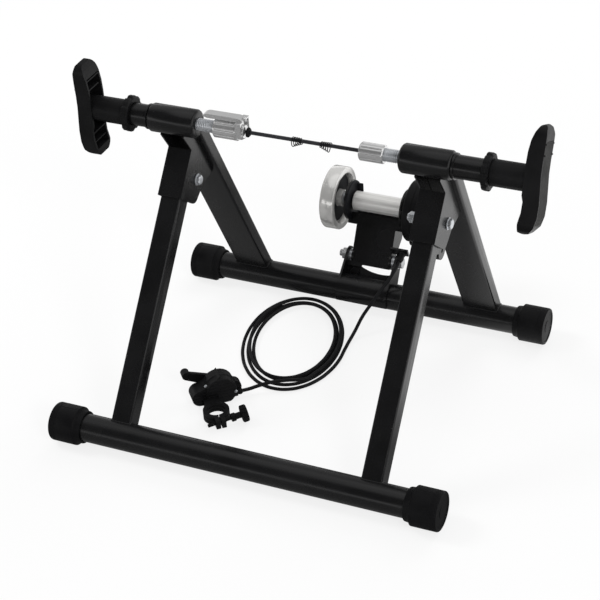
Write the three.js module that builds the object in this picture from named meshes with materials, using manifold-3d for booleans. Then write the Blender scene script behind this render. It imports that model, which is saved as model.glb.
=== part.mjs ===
import * as THREE from 'three';
import { mergeVertices } from 'three/addons/utils/BufferGeometryUtils.js';
import Module from 'manifold-3d';

// Bicycle turbo trainer: two folding A-frames, a screw clamp on each side of the axle,
// a quick-release skewer, a roller unit with flywheel and magnet brake, and a cable remote.
// Millimetres. X runs along the axle, Y from the front floor tube to the rear one, Z up.

// Frame sizes
const floorTubeSpan = 546;
const floorTubeSpacing = 418;
const floorTubeRadius = 19;
const tubeWall = 2;
const capRadius = 26;
const capFlat = 1;
const capLength = 45;
const capNeck = 9;
const capNeckRadius = 21.5;
const capEnd = 7;
const capEdge = 1.5;

// Axle line
const axleY = 230;
const axleHeight = 375;
const headTubeRadius = 19;
const headTubeRounding = 4;
const headTubeBoreDepth = 46;

// Legs
const legInset = 95.5;
const legCentre = floorTubeSpan / 2 - legInset;
const headTubeInward = 36.5;
const headTubeOutward = 32.5;
const headTubeInner = legCentre - headTubeInward;
const headTubeOuter = legCentre + headTubeOutward;
const frontLegWidth = 28;
const frontLegCorner = 3;
const frontLegAim = 61.6;
const frontLegOffset = 5;
const rearLegWidth = 50;
const rearLegDepth = 19;
const rearLegCorner = 3;
const rearLegAim = 9.7;
const rearLegOffset = 7.5;

// Fold hinge and its channel bracket
const foldSetback = 32.5;
const foldDrop = 93.84;
const foldBoltRadius = 5;
const foldHeadRadius = 8;
const foldHeadHeight = 6;
const foldNutHeight = 8;
const lugRadius = 13;
const lockHoleRadius = 3;
const lockLugRadius = 12;
const lockLugThickness = 5;
const lockLugDrop = 33;
const lockLugForward = 14;
const plateThickness = 2.5;
const sideGap = 0.75;
const channelWidth = frontLegWidth + 2 * (plateThickness + sideGap);
const channelWebLength = 66;
const channelBelowBolt = 33;
const flangeCorner = 7;

// Axle clamp
const sleeveRadius = 15;
const sleeveLength = 70;
const sleeveEnd = headTubeOuter + sleeveLength;
const sleeveFlangeRadius = 17;
const sleeveFlange = 3;
const screwRadius = 8.5;
const collarRadius = 24;
const collarWidth = 10;
const collarLobes = 10;
const collarLobeDepth = 2;
const stemRadius = 17;
const stemLength = 44;
const gripTravel = 24;
const gripWallPlace = sleeveEnd + gripTravel;
const leftScrewedIn = 14;
const handleWidth = 36;
const handleDepth = 23;
const handleHeight = 136;
const handleEndRadius = 16;
const handleHalf = handleHeight / 2;
const handleWall = 3;
const handleHook = 7;
const gripThickness = 1.5;
const gripWidth = 30;

// Cups
const rightCupRadius = 12;
const rightCupLength = 32.5;
const leftCupRadius = 13;
const leftCupLength = 34;
const cupFlutes = 10;
const fluteRadius = 2.2;
const cupBore = 9.2;
const cupBoreDepth = 25;
const rightScrewShow = 22;
const leftScrewShow = 25;
const rightCupMouth = headTubeInner - rightScrewShow - rightCupLength;
const leftCupMouth = headTubeInner - leftScrewShow - leftCupLength;
const cupChamfer = 1.2;

// Skewer
const skewerRadius = 2.5;
const skewerHeadRadius = 8.6;
const skewerHeadLip = 11;
const skewerHeadLength = 8;
const skewerWasherRadius = 8;
const skewerWasher = 3;
const skewerNutRadius = 6.8;
const skewerNutLength = 14;
const leverThickness = 6;
const leverWidth = 12;
const leverRise = 15;
const leverLength = 53;
const leverSwing = 75;
const springWire = 1.2;
const springLength = 14;
const springWide = 7;
const springNarrow = 4.2;
const springCurls = 5;

// Resistance unit
const rollerY = 480;
const rollerHeight = 137;
const rollerRadius = 14;
const rollerPlay = 4;
const shaftRadius = 5;
const unitPivotY = 450;
const unitPivotHeight = 63;
const webLean = 30;
const webSetback = 1.7;
const saddleWidth = 78;
const saddleSteel = 3;
const spacerLength = 6;
const bracketWidth = saddleWidth - 2 * (saddleSteel + spacerLength);
const bracketSteel = 3;
const earFlare = 14;
const earSpan = bracketWidth + 2 * earFlare;
const rollerLength = earSpan - 2 * (bracketSteel + rollerPlay);
const earRadius = 29;
const earDepth = 34;
const webTop = 17;
const webLedge = 31;
const webBottom = 85;
const flywheelRadius = 46;
const flywheelWidth = 21;
const flywheelRim = 9;
const flywheelRecess = 9;
const flywheelHub = 13;
const flywheelGap = 10;
const flywheelPlace = earSpan / 2 + flywheelGap;
const bossRadius = 16;
const bossWidth = 6;
const housingRadius = 45;
const housingGap = 6;
const housingPlace = earSpan / 2 + housingGap;
const housingWidth = 13;
const housingWall = 2.5;
const carrierWidth = 14;
const rotorRadius = 40;
const rotorThickness = 4;
const pivotBoltRadius = 5;
const spacerRadius = 9;
const stopTabWidth = 23;
const adjusterRadius = 5;
const adjusterLength = 16;
const adjusterAside = 16;
const adjusterPlace = bracketWidth / 2 + adjusterAside;

// Cable and its floor coil
const cableDiameter = 5;
const cableRest = 2.6;
const cableStep = 12;
const coilCentre = [-62.2, 298.7];
const coilLong = 116;
const coilShort = 75;
const coilLongInner = 88;
const coilShortInner = 55;
const coilTurn = 105;
const coilStart = -97;
const coilLoops = 4.125;
const coilReverse = 2.6;
const coilRise = 5.6;
const coilSteps = 24;
const leadPoints = [
  [adjusterPlace, 434.6, 75], [adjusterPlace, 427, 72.4], [43.8, 415, 66.5], [39.4, 405, 58.5],
  [32.8, 392, 48.5], [26, 377, 37], [17.8, 359, 22.5], [13.6, 344, 9.8], [11.9, 334, 4.6],
  [11.8, 322, 2.8], [12.9, 309.65, 2.6],
];
const tailPoints = [
  [-2.7, 224.7, 8.2], [-5.7, 215.4, 9.2], [-13, 206, 12], [-27, 197, 14], [-46, 185.5, 13.8],
  [-62, 175.4, 10.4], [-70.5, 169.5, 8.2], [-77.7, 163.2, 8],
];

// Shifter, lying on the floor
const shifterPlace = [-118.5, 145];
const shifterYaw = 41;
const podCentre = 12;
const podRadius = 23;
const podRise = 17.5;
const podFront = -19.7;
const podBack = 8;
const podRib = 1.2;
const bulgeRadius = 12;
const bulgeReach = 29;
const bulgeRise = 13;
const lobeRadius = 11;
const lobeReach = 20;
const lobeStart = -6;
const leverDiscRadius = 17;
const leverPlate = 4.6;
const leverReach = 41;
const leverLift = 18.5;
const paddleRadius = 6;
const paddleWidth = 12;
const clampRadius = 18;
const clampBore = 12.7;
const clampHeight = 13;
const clampCentre = -4;
const clampNeck = 9;
const clampNeckWidth = 22;
const clampSlit = 1.6;
const clampEar = 9;
const clampEarWidth = 14;
const knobScrewRadius = 2.5;
const knobScrewTilt = 8;
const knobScrewTail = 18;
const knobRadius = 12;
const knobWidth = 9;
const knobPlace = 29;
const knobLobes = 12;
const barrelRadius = 4.5;
const barrelLength = 7.5;
const barrelRise = 8;
const barrelAside = 13;

// Trim and small shares
const pivotEarRadius = 12;
const pivotNutRadius = 9;
const pivotNutWidth = 7;
const pivotTail = 5;
const saddleWrap = [15, 205];
const adjusterSlope = 19;
const adjusterBehind = 2;
const adjusterDown = 62.5;
const armReach = 8;
const armWidth = 14;
const armTurn = 58;
const leftSpringShare = 0.44;
const rightSpringShare = 0.668;
const springSag = 2;
const washerShare = 0.9;
const nutShare = 0.75;
const gripTopShare = 0.7;
const gripBottomShare = -0.8;
const hookShare = 0.8;
const ribShare = 0.6;
const ribShares = [-0.66, -0.46, 0.46, 0.66];
const leftTilt = 0;
const rightTilt = -24;
const cheekWall = 2;
const armShare = 0.5;
const lobeShare = 0.5;
const climbShare = 0.5;
const pinRadius = 2;
const springSteps = 8;
const springSides = 5;
const coilSides = 6;
const tubeSides = 8;
const seat = 0.3;
const running = 0.5;
const overrun = 4;

// Drawing fineness
const roundSteps = 24;
const wheelSteps = 32;
const smallSteps = 12;
const arcSteps = 5;

const wasm = await Module();
wasm.setup();

// Materials
function finish(colour, roughness, metalness) {
  return new THREE.MeshStandardMaterial({ color: colour, roughness, metalness });
}
const blackPaint = finish(0x141414, 0.35, 0.3);
const blackPlastic = finish(0x1b1b1c, 0.6, 0);
const capRubber = finish(0x222223, 0.7, 0);
const softGrip = finish(0x2e2e30, 0.85, 0);
const chrome = finish(0xd9dbde, 0.12, 1);
const steel = finish(0xc2c4c6, 0.3, 1);
const zinc = finish(0xa9adb3, 0.4, 1);
const aluminium = finish(0xb9bcc0, 0.45, 1);
const cableBlack = finish(0x101010, 0.5, 0);

const trainer = new THREE.Group();

// Turns a closed three.js geometry into a solid that can be joined and cut
function solid(geometry) {
  const bare = geometry.clone();
  bare.deleteAttribute('normal');
  bare.deleteAttribute('uv');
  const merged = mergeVertices(bare);
  const points = merged.attributes.position;
  const corners = Array.from(merged.index.array);
  const faces = [];
  for (let k = 0; k < corners.length; k += 3) {
    const [a, b, c] = corners.slice(k, k + 3);
    if (a !== b && b !== c && c !== a) faces.push([a, b, c]);
  }
  const at = faces.map((face) => face.map((i) => new THREE.Vector3().fromBufferAttribute(points, i)));
  const inward = at.reduce((sum, [a, b, c]) => sum + a.dot(b.clone().cross(c)), 0) < 0;
  const turned = inward ? faces.map(([a, b, c]) => [a, c, b]) : faces;
  return new wasm.Manifold(new wasm.Mesh({
    numProp: 3,
    vertProperties: Float32Array.from(points.array),
    triVerts: Uint32Array.from(turned.flat()),
  }));
}

// Adds a solid to the model as one named mesh
function piece(name, body, material, group = trainer) {
  const made = body.getMesh();
  const geometry = new THREE.BufferGeometry();
  geometry.setAttribute('position', new THREE.BufferAttribute(Float32Array.from(made.vertProperties), 3));
  geometry.setIndex(new THREE.BufferAttribute(Uint32Array.from(made.triVerts), 1));
  geometry.computeVertexNormals();
  const mesh = new THREE.Mesh(geometry, material);
  mesh.name = name;
  group.add(mesh);
  return mesh;
}

// Revolves [along X, radius] points about the X axis
function turned(profile, steps = roundSteps) {
  const points = profile.map(([along, radius]) => new THREE.Vector2(radius, along));
  return solid(new THREE.LatheGeometry(points, steps).rotateZ(-Math.PI / 2));
}

function rod(radius, start, end, steps = roundSteps) {
  return turned([[start, 0], [start, radius], [end, radius], [end, 0]], steps);
}

function tube(inner, outer, start, end, steps = roundSteps) {
  const corners = [[start, inner], [start, outer], [end, outer], [end, inner], [start, inner]];
  return turned(corners, steps);
}

function moved(body, x, y, z) {
  return body.translate([x, y, z]);
}

// Parts are drawn on the right; the left ones are mirrored
function toSide(body, side) {
  return side > 0 ? body : body.mirror([1, 0, 0]);
}

// Extrudes an outline drawn in Y and Z, centred on a place along X
function slab(shape, width, centre = 0) {
  const settings = { depth: width, bevelEnabled: false, curveSegments: arcSteps };
  const geometry = new THREE.ExtrudeGeometry(shape, settings);
  const axes = new THREE.Matrix4().makeBasis(
    new THREE.Vector3(0, 1, 0), new THREE.Vector3(0, 0, 1), new THREE.Vector3(1, 0, 0));
  return solid(geometry.applyMatrix4(axes)).translate([centre - width / 2, 0, 0]);
}

function outline(points) {
  return new THREE.Shape(points.map(([a, b]) => new THREE.Vector2(a, b)));
}

function roundedRectangle(width, height, corner) {
  const w = width / 2 - corner;
  const h = height / 2 - corner;
  const shape = new THREE.Shape();
  shape.absarc(w, h, corner, 0, Math.PI / 2);
  shape.absarc(-w, h, corner, Math.PI / 2, Math.PI);
  shape.absarc(-w, -h, corner, Math.PI, 1.5 * Math.PI);
  shape.absarc(w, -h, corner, 1.5 * Math.PI, 2 * Math.PI);
  return shape;
}

// A leaning line in the YZ plane: n is measured behind it and s along it, from its foot
function leaningLine(footY, footZ, leanDegrees, offset) {
  const lean = THREE.MathUtils.degToRad(leanDegrees);
  const along = new THREE.Vector2(Math.sin(lean), Math.cos(lean));
  const back = new THREE.Vector2(along.y, -along.x);
  const foot = new THREE.Vector2(footY, footZ).addScaledVector(back, offset);
  const at = (n, s) => {
    const point = foot.clone().addScaledVector(back, n).addScaledVector(along, s);
    return [point.x, point.y];
  };
  return { along, back, foot, at, lean };
}

// A straight bar with rounded corners along a leaning line
function bar(line, width, depth, corner, start, end) {
  const settings = { depth: end - start, bevelEnabled: false, curveSegments: 2 };
  const geometry = new THREE.ExtrudeGeometry(roundedRectangle(width, depth, corner), settings);
  const axes = new THREE.Matrix4().makeBasis(
    new THREE.Vector3(1, 0, 0),
    new THREE.Vector3(0, line.back.x, line.back.y),
    new THREE.Vector3(0, line.along.x, line.along.y));
  const [y, z] = line.at(0, start);
  return solid(geometry.applyMatrix4(axes)).translate([0, y, z]);
}

const floorAxis = capRadius - capFlat;
const legRise = axleHeight - floorAxis;
const frontLegLean = THREE.MathUtils.radToDeg(Math.atan2(axleY + frontLegAim, legRise));
const rearLegLean = THREE.MathUtils.radToDeg(Math.atan2(floorTubeSpacing - axleY - rearLegAim, legRise));
const frontLeg = leaningLine(0, floorAxis, frontLegLean, frontLegOffset);
const rearLeg = leaningLine(floorTubeSpacing, floorAxis, -rearLegLean, rearLegOffset);
const foldBehind = foldSetback - frontLegWidth / 2;
const foldRise = axleHeight - foldDrop - frontLeg.foot.y - frontLeg.back.y * foldBehind;
const foldReach = foldRise / frontLeg.along.y;
const [foldY, foldZ] = frontLeg.at(foldBehind, foldReach);
const sides = [['left', -1], ['right', 1]];

// Floor tubes with their end caps
function floorTube(name, y) {
  const half = floorTubeSpan / 2 - capEnd - seat;
  const body = tube(floorTubeRadius - tubeWall, floorTubeRadius, -half, half);
  piece(name, moved(body, 0, y, floorAxis), blackPaint);
}

function endCap(name, side, y) {
  const end = floorTubeSpan / 2;
  const mouth = end - capLength;
  const bore = floorTubeRadius + seat;
  const shell = turned([
    [mouth, bore], [mouth, capNeckRadius], [mouth + capNeck, capRadius], [end - capEdge, capRadius],
    [end, capRadius - capEdge], [end, 0], [end - capEnd, 0], [end - capEnd, bore], [mouth, bore],
  ]);
  const floorCut = new THREE.BoxGeometry(2 * floorTubeSpan, 2 * capRadius, capRadius);
  const flat = solid(floorCut).translate([0, 0, -floorAxis - capRadius / 2]);
  const cap = shell.subtract(flat);
  piece(name, moved(toSide(cap, side), 0, y, floorAxis), capRubber);
}

for (const [end, y] of [['front', 0], ['rear', floorTubeSpacing]]) {
  floorTube(`${end}_floor_tube`, y);
  for (const [hand, side] of sides) endCap(`${end}_cap_${hand}`, side, y);
}

// Front legs: square tube, mitred on the floor tube, with a round-nosed hinge lug at the top
function frontLegBody(side) {
  const noseRadius = foldSetback - running;
  const shaft = bar(frontLeg, frontLegWidth, frontLegWidth, frontLegCorner, lugRadius / 2, foldReach);
  const nose = moved(rod(noseRadius, -frontLegWidth / 2, frontLegWidth / 2), 0, foldY, foldZ);
  const noseKeep = slab(outline([
    frontLeg.at(-frontLegWidth / 2, foldReach - lugRadius),
    frontLeg.at(-frontLegWidth / 2, foldReach + noseRadius),
    frontLeg.at(foldBehind - lugRadius / 2, foldReach + noseRadius),
    frontLeg.at(foldBehind, foldReach - lugRadius),
  ]), frontLegWidth);
  const lug = moved(rod(lugRadius, -frontLegWidth / 2, frontLegWidth / 2), 0, foldY, foldZ);
  const lugRoot = slab(outline([
    frontLeg.at(0, foldReach - 2 * lugRadius),
    frontLeg.at(foldBehind, foldReach - lugRadius),
    frontLeg.at(foldBehind, foldReach),
    frontLeg.at(0, foldReach),
  ]), frontLegWidth);
  const outerFace = side * (frontLegWidth - lockLugThickness) / 2;
  const lockY = foldY - lockLugForward;
  const lockZ = foldZ - lockLugDrop;
  const lockEye = moved(rod(lockLugRadius, outerFace - lockLugThickness / 2, outerFace + lockLugThickness / 2),
    0, lockY, lockZ);
  const lockPlate = slab(outline([
    frontLeg.at(0, foldReach - lockLugDrop - lockLugRadius),
    [lockY + lockLugRadius / 2, lockZ - lockLugRadius / 2],
    [lockY + lockLugRadius, lockZ],
    [foldY + lugRadius / 2, foldZ],
    frontLeg.at(0, foldReach),
  ]), lockLugThickness, outerFace);
  const lockHole = moved(rod(lockHoleRadius, -frontLegWidth, frontLegWidth, smallSteps), 0, lockY, lockZ);
  const boltHole = moved(rod(foldBoltRadius + seat, -frontLegWidth, frontLegWidth, smallSteps), 0, foldY, foldZ);
  const tubeCut = moved(rod(floorTubeRadius + seat, -frontLegWidth, frontLegWidth), 0, 0, floorAxis);
  return shaft.add(nose.intersect(noseKeep)).add(lug).add(lugRoot).add(lockEye).add(lockPlate)
    .subtract(lockHole).subtract(boltHole).subtract(tubeCut);
}

// Rear legs: flat tube from the rear floor tube to the back of the head tube
function rearLegBody() {
  const head = rearLeg.along.clone().dot(new THREE.Vector2(axleY, axleHeight).sub(rearLeg.foot));
  const shaft = bar(rearLeg, rearLegWidth, rearLegDepth, rearLegCorner, 0, head - headTubeRadius / 3);
  const headCut = moved(rod(headTubeRadius + seat, -rearLegWidth, rearLegWidth), 0, axleY, axleHeight);
  const tubeCut = moved(rod(floorTubeRadius + seat, -rearLegWidth, rearLegWidth), 0, floorTubeSpacing, floorAxis);
  return shaft.subtract(headCut).subtract(tubeCut);
}

// Folded channel bracket: a front web, open above, between two flanges that reach the rear leg
function channelBody() {
  const inner = -(frontLegWidth / 2 + running);
  const front = inner - plateThickness;
  const low = foldReach - channelBelowBolt;
  const high = low + channelWebLength;
  const legFace = -(rearLegDepth / 2 + seat);
  const heel = foldBehind + flangeCorner;
  const shape = new THREE.Shape();
  const go = (method, ...pairs) => shape[method](...pairs.flat());
  const rearLow = rearLeg.at(legFace, (foldZ - lugRadius / 2 - rearLeg.foot.y) / rearLeg.along.y);
  const rearHigh = rearLeg.at(legFace, (axleHeight - headTubeRadius / 2 - rearLeg.foot.y) / rearLeg.along.y);
  go('moveTo', frontLeg.at(front, low));
  go('lineTo', frontLeg.at(heel - flangeCorner, low));
  const turnIn = frontLeg.at(heel + flangeCorner / 2, low);
  go('quadraticCurveTo', turnIn, frontLeg.at(heel + flangeCorner, low + flangeCorner));
  go('lineTo', frontLeg.at(heel + 2 * flangeCorner, foldReach - flangeCorner / 2));
  go('lineTo', rearLow);
  go('lineTo', rearHigh);
  go('lineTo', [axleY, axleHeight - headTubeRadius / 2]);
  go('lineTo', [axleY - headTubeRadius / 2, axleHeight - headTubeRadius]);
  go('lineTo', frontLeg.at(front, high));
  const full = slab(shape, channelWidth);
  const far = foldReach + 2 * axleY;
  const inside = slab(outline([
    frontLeg.at(inner, 0), frontLeg.at(inner, high), frontLeg.at(-channelBelowBolt - channelWidth, high),
    frontLeg.at(-channelBelowBolt - channelWidth, far), frontLeg.at(far, far), frontLeg.at(far, 0),
  ]), channelWidth - 2 * plateThickness);
  const headCut = moved(rod(headTubeRadius + seat, -channelWidth, channelWidth), 0, axleY, axleHeight);
  const boltHole = moved(rod(foldBoltRadius + seat, -channelWidth, channelWidth, smallSteps), 0, foldY, foldZ);
  return full.subtract(inside).subtract(headCut).subtract(boltHole);
}

// Head tube: a short thick tube with rounded ends, bored for the sleeve from outside
function headTubeBody() {
  const r = headTubeRadius;
  const e = headTubeRounding;
  const step = e / 3;
  const shelf = headTubeOuter - headTubeBoreDepth;
  const bore = sleeveRadius + seat;
  const pass = screwRadius + running;
  const body = turned([
    [headTubeInner, pass], [headTubeInner, r - e], [headTubeInner + step, r - step], [headTubeInner + e, r],
    [headTubeOuter - e, r], [headTubeOuter - step, r - step], [headTubeOuter, r - e], [headTubeOuter, bore],
    [shelf, bore], [shelf, pass], [headTubeInner, pass],
  ]);
  return moved(body, 0, axleY, axleHeight);
}

// Sleeve: pressed into the head tube, with a flange on its end face
function sleeveBody() {
  const start = headTubeOuter - headTubeBoreDepth + seat;
  const pass = screwRadius + running;
  const flange = headTubeOuter + seat;
  const body = turned([
    [start, pass], [start, sleeveRadius], [flange, sleeveRadius], [flange, sleeveFlangeRadius],
    [flange + sleeveFlange, sleeveFlangeRadius], [flange + sleeveFlange, sleeveRadius],
    [sleeveEnd, sleeveRadius], [sleeveEnd, pass], [start, pass],
  ]);
  return moved(body, 0, axleY, axleHeight);
}

function foldBolt(head) {
  const half = channelWidth / 2 + seat;
  const shank = rod(foldBoltRadius, -half - foldNutHeight, half, smallSteps);
  const washer = rod(foldHeadRadius * washerShare, half, half + plateThickness / 2);
  const top = rod(foldHeadRadius, half + plateThickness / 2, half + head, 6);
  return moved(shank.add(washer).add(top), 0, foldY, foldZ);
}

function foldNut() {
  const face = channelWidth / 2 + seat;
  const body = rod(foldHeadRadius, -face - foldNutHeight * nutShare, -face, 6)
    .subtract(rod(foldBoltRadius + seat, -2 * channelWidth, 0, smallSteps));
  return moved(body, 0, foldY, foldZ);
}

for (const [hand, side] of sides) {
  const place = side * legCentre;
  piece(`front_leg_${hand}`, moved(frontLegBody(side), place, 0, 0), blackPaint);
  piece(`rear_leg_${hand}`, moved(rearLegBody(), place, 0, 0), blackPaint);
  piece(`channel_${hand}`, moved(channelBody(), place, 0, 0), blackPaint);
  piece(`head_tube_${hand}`, toSide(headTubeBody(), side), blackPaint);
  piece(`sleeve_${hand}`, toSide(sleeveBody(), side), blackPaint);
  piece(`fold_bolt_${hand}`, moved(foldBolt(foldHeadHeight), place, 0, 0), steel);
  piece(`fold_nut_${hand}`, moved(foldNut(), place, 0, 0), steel);
}

// Lobed lock ring on the sleeve
function collarBody(start) {
  let body = tube(sleeveRadius + running, collarRadius, start, start + collarWidth);
  for (let k = 0; k < collarLobes; k += 1) {
    const turn = (2 * Math.PI * (k + lobeShare)) / collarLobes;
    const far = collarRadius + collarLobeDepth;
    const notch = rod(2 * collarLobeDepth, start - overrun, start + collarWidth + overrun, smallSteps);
    body = body.subtract(moved(notch, 0, far * Math.cos(turn), far * Math.sin(turn)));
  }
  return moved(body, 0, axleY, axleHeight);
}

// Outline of a handle seen from the front, in shares of its depth and half height
const handleOuterShares = [
  [0.5, 0.98], [0.7, 1], [0.85, 0.95], [0.93, 0.82], [0.93, 0.6], [0.9, 0.35], [0.9, 0.1], [0.95, -0.15],
  [1, -0.42], [0.98, -0.66], [0.84, -0.85], [0.55, -0.97], [0.2, -1],
];
const handleInnerShares = [
  [-0.05, -0.96], [-0.04, -0.8], [0.08, -0.6], [0.1, -0.4], [0, -0.29], [0, 0.29], [0.03, 0.5], [0.12, 0.7],
  [0.28, 0.86], [0.44, 0.965],
];

function handleLine(shares, inset) {
  const curve = new THREE.SplineCurve(shares.map(([w, v]) => new THREE.Vector2(w * handleDepth, v * handleHalf)));
  const count = shares.length - 1;
  return curve.getPoints(count).map((point, k) => {
    const along = curve.getTangent(k / count);
    return new THREE.Vector2(point.x + along.y * inset, point.y - along.x * inset);
  });
}

// Extrudes an outline drawn in X and Z across Y
function across(points, width) {
  const geometry = new THREE.ExtrudeGeometry(new THREE.Shape(points), { depth: width, bevelEnabled: false });
  return solid(geometry.rotateX(Math.PI / 2)).translate([0, width / 2, 0]);
}

// The strip of the handle's back nearer its surface than a depth
function handleSkin(depth, width, reach) {
  const surface = handleLine(handleOuterShares, -overrun);
  const under = handleLine(handleOuterShares, depth).reverse();
  const keep = new THREE.BoxGeometry(4 * handleDepth, width, 2 * reach);
  const shift = (handleHalf * gripTopShare + handleHalf * gripBottomShare) / 2;
  return across([...surface, ...under], width).intersect(solid(keep).translate([0, 0, shift]));
}

const gripReach = (handleHalf * gripTopShare - handleHalf * gripBottomShare) / 2;

function handleBody(stemStart) {
  const outer = handleLine(handleOuterShares, 0);
  const inner = handleLine(handleInnerShares, 0);
  const ends = slab(roundedRectangle(handleWidth, handleHeight, handleEndRadius), 4 * handleDepth);
  const block = across([...outer, ...inner], handleWidth).intersect(ends);
  const hollowOuter = handleLine(handleOuterShares, handleWall + gripThickness);
  const hollowInner = handleLine(handleInnerShares, -2 * handleHook);
  const hollow = across([...hollowOuter, ...hollowInner], handleWidth - 2 * handleWall);
  const top = solid(new THREE.BoxGeometry(4 * handleDepth, handleWidth, handleHalf))
    .translate([0, 0, handleHalf * gripTopShare + handleHalf / 2]);
  const hook = solid(new THREE.BoxGeometry(4 * handleDepth, handleWidth, handleHalf))
    .translate([0, 0, -handleHalf * hookShare - handleHalf / 2]);
  let body = block.subtract(hollow.subtract(top).subtract(hook));
  for (const share of ribShares) {
    const rib = new THREE.BoxGeometry(handleDepth - handleWall, handleWidth - handleWall, handleWall * ribShare);
    const middle = (handleDepth + handleWall * ribShare) / 2;
    body = body.add(solid(rib).translate([middle, 0, handleHalf * share]));
  }
  body = body.add(rod(stemRadius, 0, handleDepth - handleWall));
  body = body.add(tube(sleeveRadius + running, stemRadius, stemStart, seat));
  return body.subtract(handleSkin(gripThickness + seat, gripWidth + 2 * seat, gripReach + seat));
}

function gripBody() {
  const outer = handleLine(handleOuterShares, 0);
  const inner = handleLine(handleInnerShares, 0);
  return across([...outer, ...inner], handleWidth).intersect(handleSkin(gripThickness, gripWidth, gripReach));
}

// Clamping cup with a fluted outside; the bore opens towards the wheel
function cupBody(mouth, length, radius) {
  const end = mouth + length;
  const floor = mouth + cupBoreDepth;
  let body = turned([
    [mouth, cupBore], [mouth, radius - cupChamfer], [mouth + cupChamfer, radius], [end - cupChamfer, radius],
    [end, radius - cupChamfer], [end, 0], [floor, 0], [floor, cupBore], [mouth, cupBore],
  ]);
  for (let k = 0; k < cupFlutes; k += 1) {
    const turn = (2 * Math.PI * k) / cupFlutes;
    const away = radius + fluteRadius / 2;
    const flute = rod(fluteRadius, mouth + 2 * cupChamfer, end - 2 * cupChamfer, 6);
    body = body.subtract(moved(flute, 0, away * Math.cos(turn), away * Math.sin(turn)));
  }
  return body;
}

const grips = {
  left: { wall: gripWallPlace - leftScrewedIn, tilt: leftTilt, cup: [leftCupMouth, leftCupLength, leftCupRadius] },
  right: { wall: gripWallPlace, tilt: rightTilt, cup: [rightCupMouth, rightCupLength, rightCupRadius] },
};

for (const [hand, side] of sides) {
  const { wall, tilt, cup } = grips[hand];
  const [mouth, length] = cup;
  const placed = (body) => moved(toSide(body, side), 0, axleY, axleHeight);
  const held = (body) => placed(body.rotate([tilt, 0, 0]).translate([wall, 0, 0]));
  piece(`handle_${hand}`, held(handleBody(-stemLength)), blackPlastic);
  piece(`grip_${hand}`, held(gripBody()), softGrip);
  const screw = rod(screwRadius, mouth + length + seat, wall - seat);
  piece(`screw_${hand}`, placed(screw), steel);
  piece(`cup_${hand}`, placed(cupBody(...cup)), chrome);
  const ring = toSide(collarBody(wall - stemLength - collarWidth - seat), side);
  piece(`collar_${hand}`, ring, blackPlastic);
}

// Skewer through the wheel axle, with its cam head, lever, washer, nut and two springs
const headMouth = -leftCupMouth + seat;
const pinPlace = headMouth + skewerHeadLength / 2;
const atAxle = (body) => moved(body, 0, axleY, axleHeight);

function skewerHead() {
  const cone = turned([
    [headMouth - skewerHeadLength, 0], [headMouth - skewerHeadLength, skewerHeadRadius],
    [headMouth, skewerHeadRadius], [headMouth, skewerHeadLip], [pinPlace, skewerHeadLip],
    [headMouth + skewerHeadLength, skewerHeadRadius], [headMouth + skewerHeadLength, 0],
  ]);
  const pinHole = rod(pinRadius + seat, -2 * skewerHeadLip, 2 * skewerHeadLip, smallSteps);
  return cone.subtract(pinHole.rotate([0, 0, 90]).translate([pinPlace, 0, 0]));
}

// Lever: a curved strip above the cup, with two cheeks that hold the pin of the cam head
function skewerLever() {
  const inner = skewerHeadLip + seat;
  const cheekRadius = leverWidth / 3;
  const low = leverRise;
  const high = leverRise + leverThickness;
  const end = pinPlace - leverLength;
  const front = pinPlace + cheekRadius;
  const points = [
    [end, low + leverThickness / 3], [end + leverThickness, low], [pinPlace - leverWidth, low],
    [pinPlace, low], [pinPlace + cheekWall, low - cheekWall], [front, low - cheekWall], [front, low],
    [front - cheekWall / 2, high - leverThickness / 2], [pinPlace, high - cheekWall / 2],
    [pinPlace - cheekRadius, high], [end + leverThickness, high], [end, high - leverThickness / 3],
  ].map(([x, z]) => new THREE.Vector2(x, z));
  let body = across(points, leverWidth);
  const bridge = new THREE.BoxGeometry(2 * cheekRadius, 2 * inner + 2 * cheekWall, cheekWall);
  body = body.add(solid(bridge).translate([pinPlace, 0, low + cheekWall / 2]));
  for (const y of [-1, 1]) {
    const middle = y * (inner + cheekWall / 2);
    const arm = new THREE.BoxGeometry(2 * cheekRadius, cheekWall, low + cheekWall);
    body = body.add(solid(arm).translate([pinPlace, middle, (low + cheekWall) / 2]));
    const eye = rod(cheekRadius, -cheekWall / 2, cheekWall / 2, smallSteps).rotate([0, 0, 90]);
    body = body.add(eye.translate([pinPlace, middle, 0]));
    const pin = rod(pinRadius, -cheekWall, cheekWall, smallSteps).rotate([0, 0, 90]);
    body = body.add(pin.translate([pinPlace, y * inner, 0]));
  }
  return body.subtract(rodSlot(low, high, cheekRadius));
}

// Slot in the lever's end, which lets it swing open past the skewer's rod
function rodSlot(low, high, reach) {
  const swing = THREE.MathUtils.degToRad(leverSwing);
  const way = skewerRadius + running;
  const start = (low * Math.cos(swing) - way) / Math.sin(swing);
  const end = reach + overrun;
  const box = new THREE.BoxGeometry(end - start, 2 * way, 2 * (high + overrun));
  return solid(box).translate([pinPlace + (start + end) / 2, 0, 0]);
}

// Conical spring: one unbroken wire with straight ends
function coneSpring(start) {
  const points = [];
  const steps = springCurls * springSteps;
  const wide = springWide - springWire / 2;
  const narrow = springNarrow - springWire / 2;
  const rate = springLength / steps;
  for (let k = 0; k <= steps; k += 1) {
    const turn = (2 * Math.PI * k) / springSteps;
    const radius = wide + ((narrow - wide) * k) / steps;
    points.push(new THREE.Vector3(start + rate * k, radius * Math.cos(turn), radius * Math.sin(turn)));
  }
  const first = points[0].clone().sub(points[1]).setLength(springWire);
  const last = points[steps].clone().sub(points[steps - 1]).setLength(springWire);
  return [points[0].clone().add(first), ...points, points[steps].clone().add(last)];
}

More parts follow.
